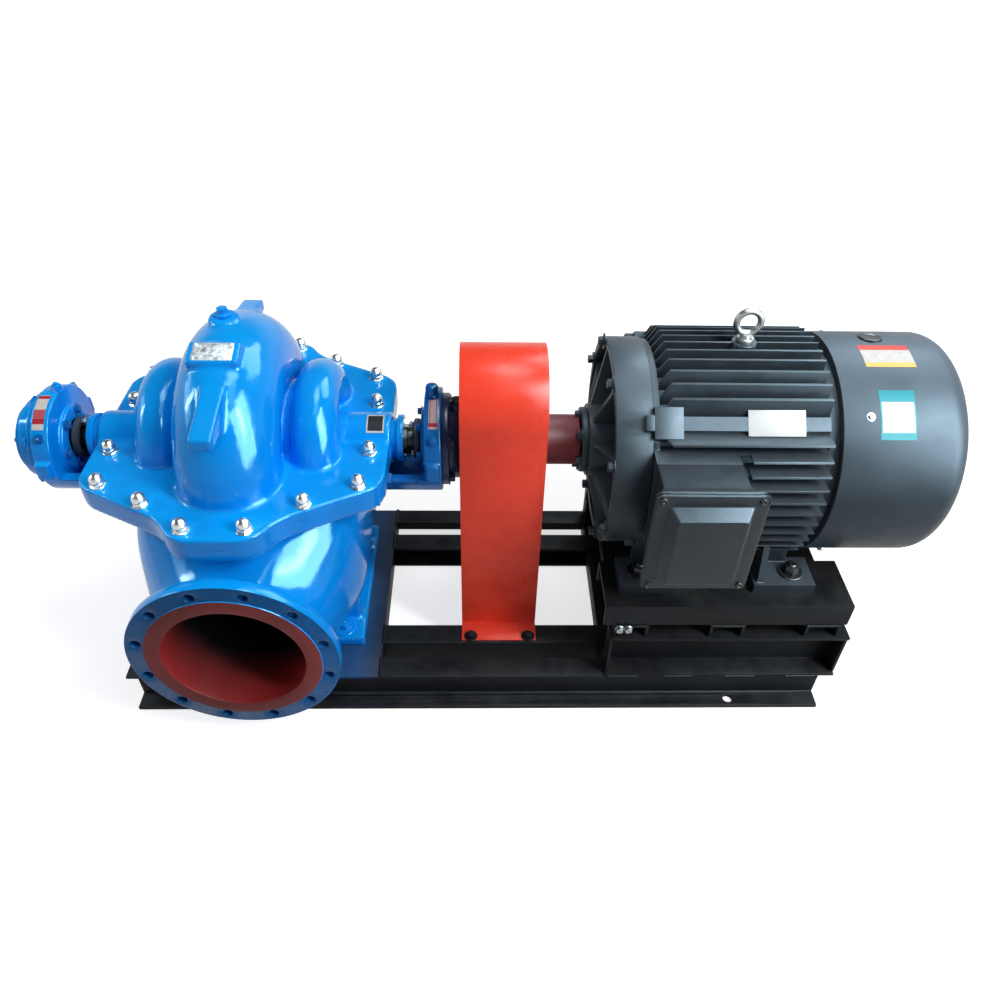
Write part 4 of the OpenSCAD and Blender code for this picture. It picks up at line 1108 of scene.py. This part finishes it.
class PUMPSET_OT_base(Operator):
    """Dress the welded steel base"""
    bl_idname = "pumpset.base"
    bl_label = "Base frame"

    def execute(self, context):
        for node in ("outer_rail_front", "outer_rail_back", "inner_rail_front", "inner_rail_back",
                     "cross_members", "pump_bed_plate", "motor_beam_front", "motor_beam_back",
                     "beam_stiffeners", "pedestal_ties", "motor_pad_front", "motor_pad_back"):
            finish = "bed enamel" if node == "pump_bed_plate" else "base enamel"
            dress(node, finish, width=1.8)
        across = context.scene.pump_sizes.foot_bolt / MM
        feet = [stand(PUMP_MM + sx * 183, sy * 169, 100, turn=20 * sx + sy)
                for sx in SIDES for sy in SIDES]
        bolts("pump_foot_bolts", "casing enamel", feet, across, stem=6)
        feet = [stand(x, side * 203, 336, turn=x) for x in (370, 719) for side in SIDES]
        bolts("motor_foot_bolts", "oily steel", feet, across, stem=5)
        ends = [stand(x, side * 291, 241, up=(0, side, 0)) for x in (326, 346) for side in SIDES]
        bolts("pedestal_bolts", "dull zinc", ends, across=15, head=8, washer=10)
        self.welds(context.scene.pump_sizes.bead / MM)
        return {"FINISHED"}

    def welds(self, width):
        """Lay beads along the joints of the rails, beams and ties."""
        slim = width * 0.8
        stitches = [stand(x, side * 297, 70, up=(1, 0, 0))
                    for x in (318, 452, 600, 748) for side in SIDES]
        butts = [stand(-232, y, 69, up=(0, 1, 0)) for y in (-296, -195, 139, 242)]
        ties = [stand(x, y, 211, up=(0, 1, 0))
                for x in (314, 394, 536, 616, 758, 838) for y in (-290, 244)]
        made = [set_out(weld_bead("long_bead", run=74, width=slim, seed=4), "long_beads", stitches),
                set_out(weld_bead("plate_bead", run=55, width=width, seed=7), "plate_beads", butts),
                set_out(weld_bead("tie_bead", run=46, width=slim, seed=9), "tie_beads", ties)]
        fit(joined(made, "base_welds"), "base enamel", angle=60)


class PUMPSET_OT_motor(Operator):
    """Dress the motor's frame, shields and cowl"""
    bl_idname = "pumpset.motor"
    bl_label = "Motor"

    def execute(self, context):
        dress("motor_frame", "motor enamel", width=0.9, segments=1)
        for node, finish, width in (("drive_shield", "motor enamel", 2.0),
                                    ("motor_bearing_cover", "motor enamel", 2.0),
                                    ("rear_shield", "motor enamel", 1.5),
                                    ("fan_cowl", "cowl enamel", 1.2)):
            dress(node, finish, width)
        across = context.scene.pump_sizes.cover_bolt / MM
        bolts("bearing_cover_bolts", "motor enamel",
              ring_places(x=233, radius=60, count=6, outward=-1, first=15), across)
        bolts("shield_bolts", "motor enamel",
              ring_places(x=280, radius=223, count=8, outward=-1, first=22.5), across * 1.1)
        self.cowl_fittings()
        plate = bare_plate("motor_plate", wide=117, high=70, thick=1.0, corner=3,
                           rivet_x=53, rivet_y=30)
        seat = stand(604.5, -159.8, 734.0, up=(0, -0.7071, 0.7071))
        fit(set_out(plate, "motor_plate", [seat]), "white plate")
        for name, x0, x1, low, high, finish, slot in (
                ("cowl_label_red", 800, 905, 88, 105, "red band label", "guard_red"),
                ("cowl_label_blue", 811, 884, 118, 143, "blue band label", "casing_blue")):
            fit(round_sheet(name, COWL_MM + 0.1, x0, x1, low, high), finish)
        return {"FINISHED"}

    def cowl_fittings(self):
        """Screws round the cowl's edge and the plug on its top."""
        screws = []
        for angle in (48.3, 131.7, 228.3, 311.7):
            up = Vector((0, math.cos(math.radians(angle)), math.sin(math.radians(angle))))
            spot = Vector((791, 0, SHAFT_MM)) + up * COWL_MM
            screws.append(stand(*spot, up))
        bolts("cowl_screws", "dull zinc", screws, across=11, head=5, washer=9)
        plug = turned("cowl_plug", [(0, 3), (17, 3), (19, 4.2), (23, 4), (25, 2.5), (25, -1.5),
                                    (0, -1.5)])
        seat = stand(844, 44.2, SHAFT_MM + 243, up=(0, 0.179, 0.984))
        fit(set_out(plug, "cowl_plug", [seat]), "black plastic")


class PUMPSET_OT_terminal_box(Operator):
    """Dress the terminal box and its cover"""
    bl_idname = "pumpset.terminal_box"
    bl_label = "Terminal box"

    def execute(self, context):
        dress("terminal_box", "box enamel", width=3.0, segments=3)
        dress("terminal_cover", "box enamel", width=4.0, segments=3)
        head = turned("cover_screw", [(0, 0), (8, 0), (8, 1.5), (6.5, 4), (3, 5), (2, 3.4),
                                      (0, 3.4)], 20)
        places = [stand(x, -358, z, up=(0, -1, 0)) for x in (350, 538) for z in (460, 688)]
        fit(set_out(head, "cover_screws", places), "black plastic")
        return {"FINISHED"}


class PUMPSET_OT_eye_bolt(Operator):
    """Dress the lifting eye"""
    bl_idname = "pumpset.eye_bolt"
    bl_label = "Eye bolt"

    def execute(self, context):
        dress("eye_bolt", "dull zinc", width=1.0)
        return {"FINISHED"}


class PUMPSET_PT_pieces(Panel):
    """Pieces and settings of the pump set"""
    bl_label = "Pump Set"
    bl_space_type = "VIEW_3D"
    bl_region_type = "UI"
    bl_category = "Pump Set"

    def draw(self, context):
        column = self.layout.column()
        for step in STEPS:
            column.operator(step.bl_idname)
        for group in ("pump_paints", "pump_sizes", "pump_stage"):
            box = self.layout.box()
            settings = getattr(context.scene, group)
            for key in settings.bl_rna.properties.keys():
                if key not in {"rna_type", "name"}:
                    box.prop(settings, key)


STEPS = (PUMPSET_OT_finishes, PUMPSET_OT_stage, PUMPSET_OT_casing, PUMPSET_OT_nozzles,
         PUMPSET_OT_split_nuts, PUMPSET_OT_fittings, PUMPSET_OT_bearings, PUMPSET_OT_glands,
         PUMPSET_OT_shaft, PUMPSET_OT_guard, PUMPSET_OT_base, PUMPSET_OT_motor,
         PUMPSET_OT_terminal_box, PUMPSET_OT_eye_bolt)
GROUPS = (("pump_paints", PumpPaints), ("pump_sizes", PumpSizes), ("pump_stage", PumpStage))


def register():
    for name, group in GROUPS:
        bpy.utils.register_class(group)
        setattr(bpy.types.Scene, name, PointerProperty(type=group))
    for step in STEPS:
        bpy.utils.register_class(step)
    bpy.utils.register_class(PUMPSET_PT_pieces)


def unregister():
    bpy.utils.unregister_class(PUMPSET_PT_pieces)
    for step in reversed(STEPS):
        bpy.utils.unregister_class(step)
    for name, group in reversed(GROUPS):
        delattr(bpy.types.Scene, name)
        bpy.utils.unregister_class(group)


def main():
    register()
    for step in STEPS:
        family, action = step.bl_idname.split(".")
        getattr(getattr(bpy.ops, family), action)()
    let_go()


if __name__ == "__main__":
    main()
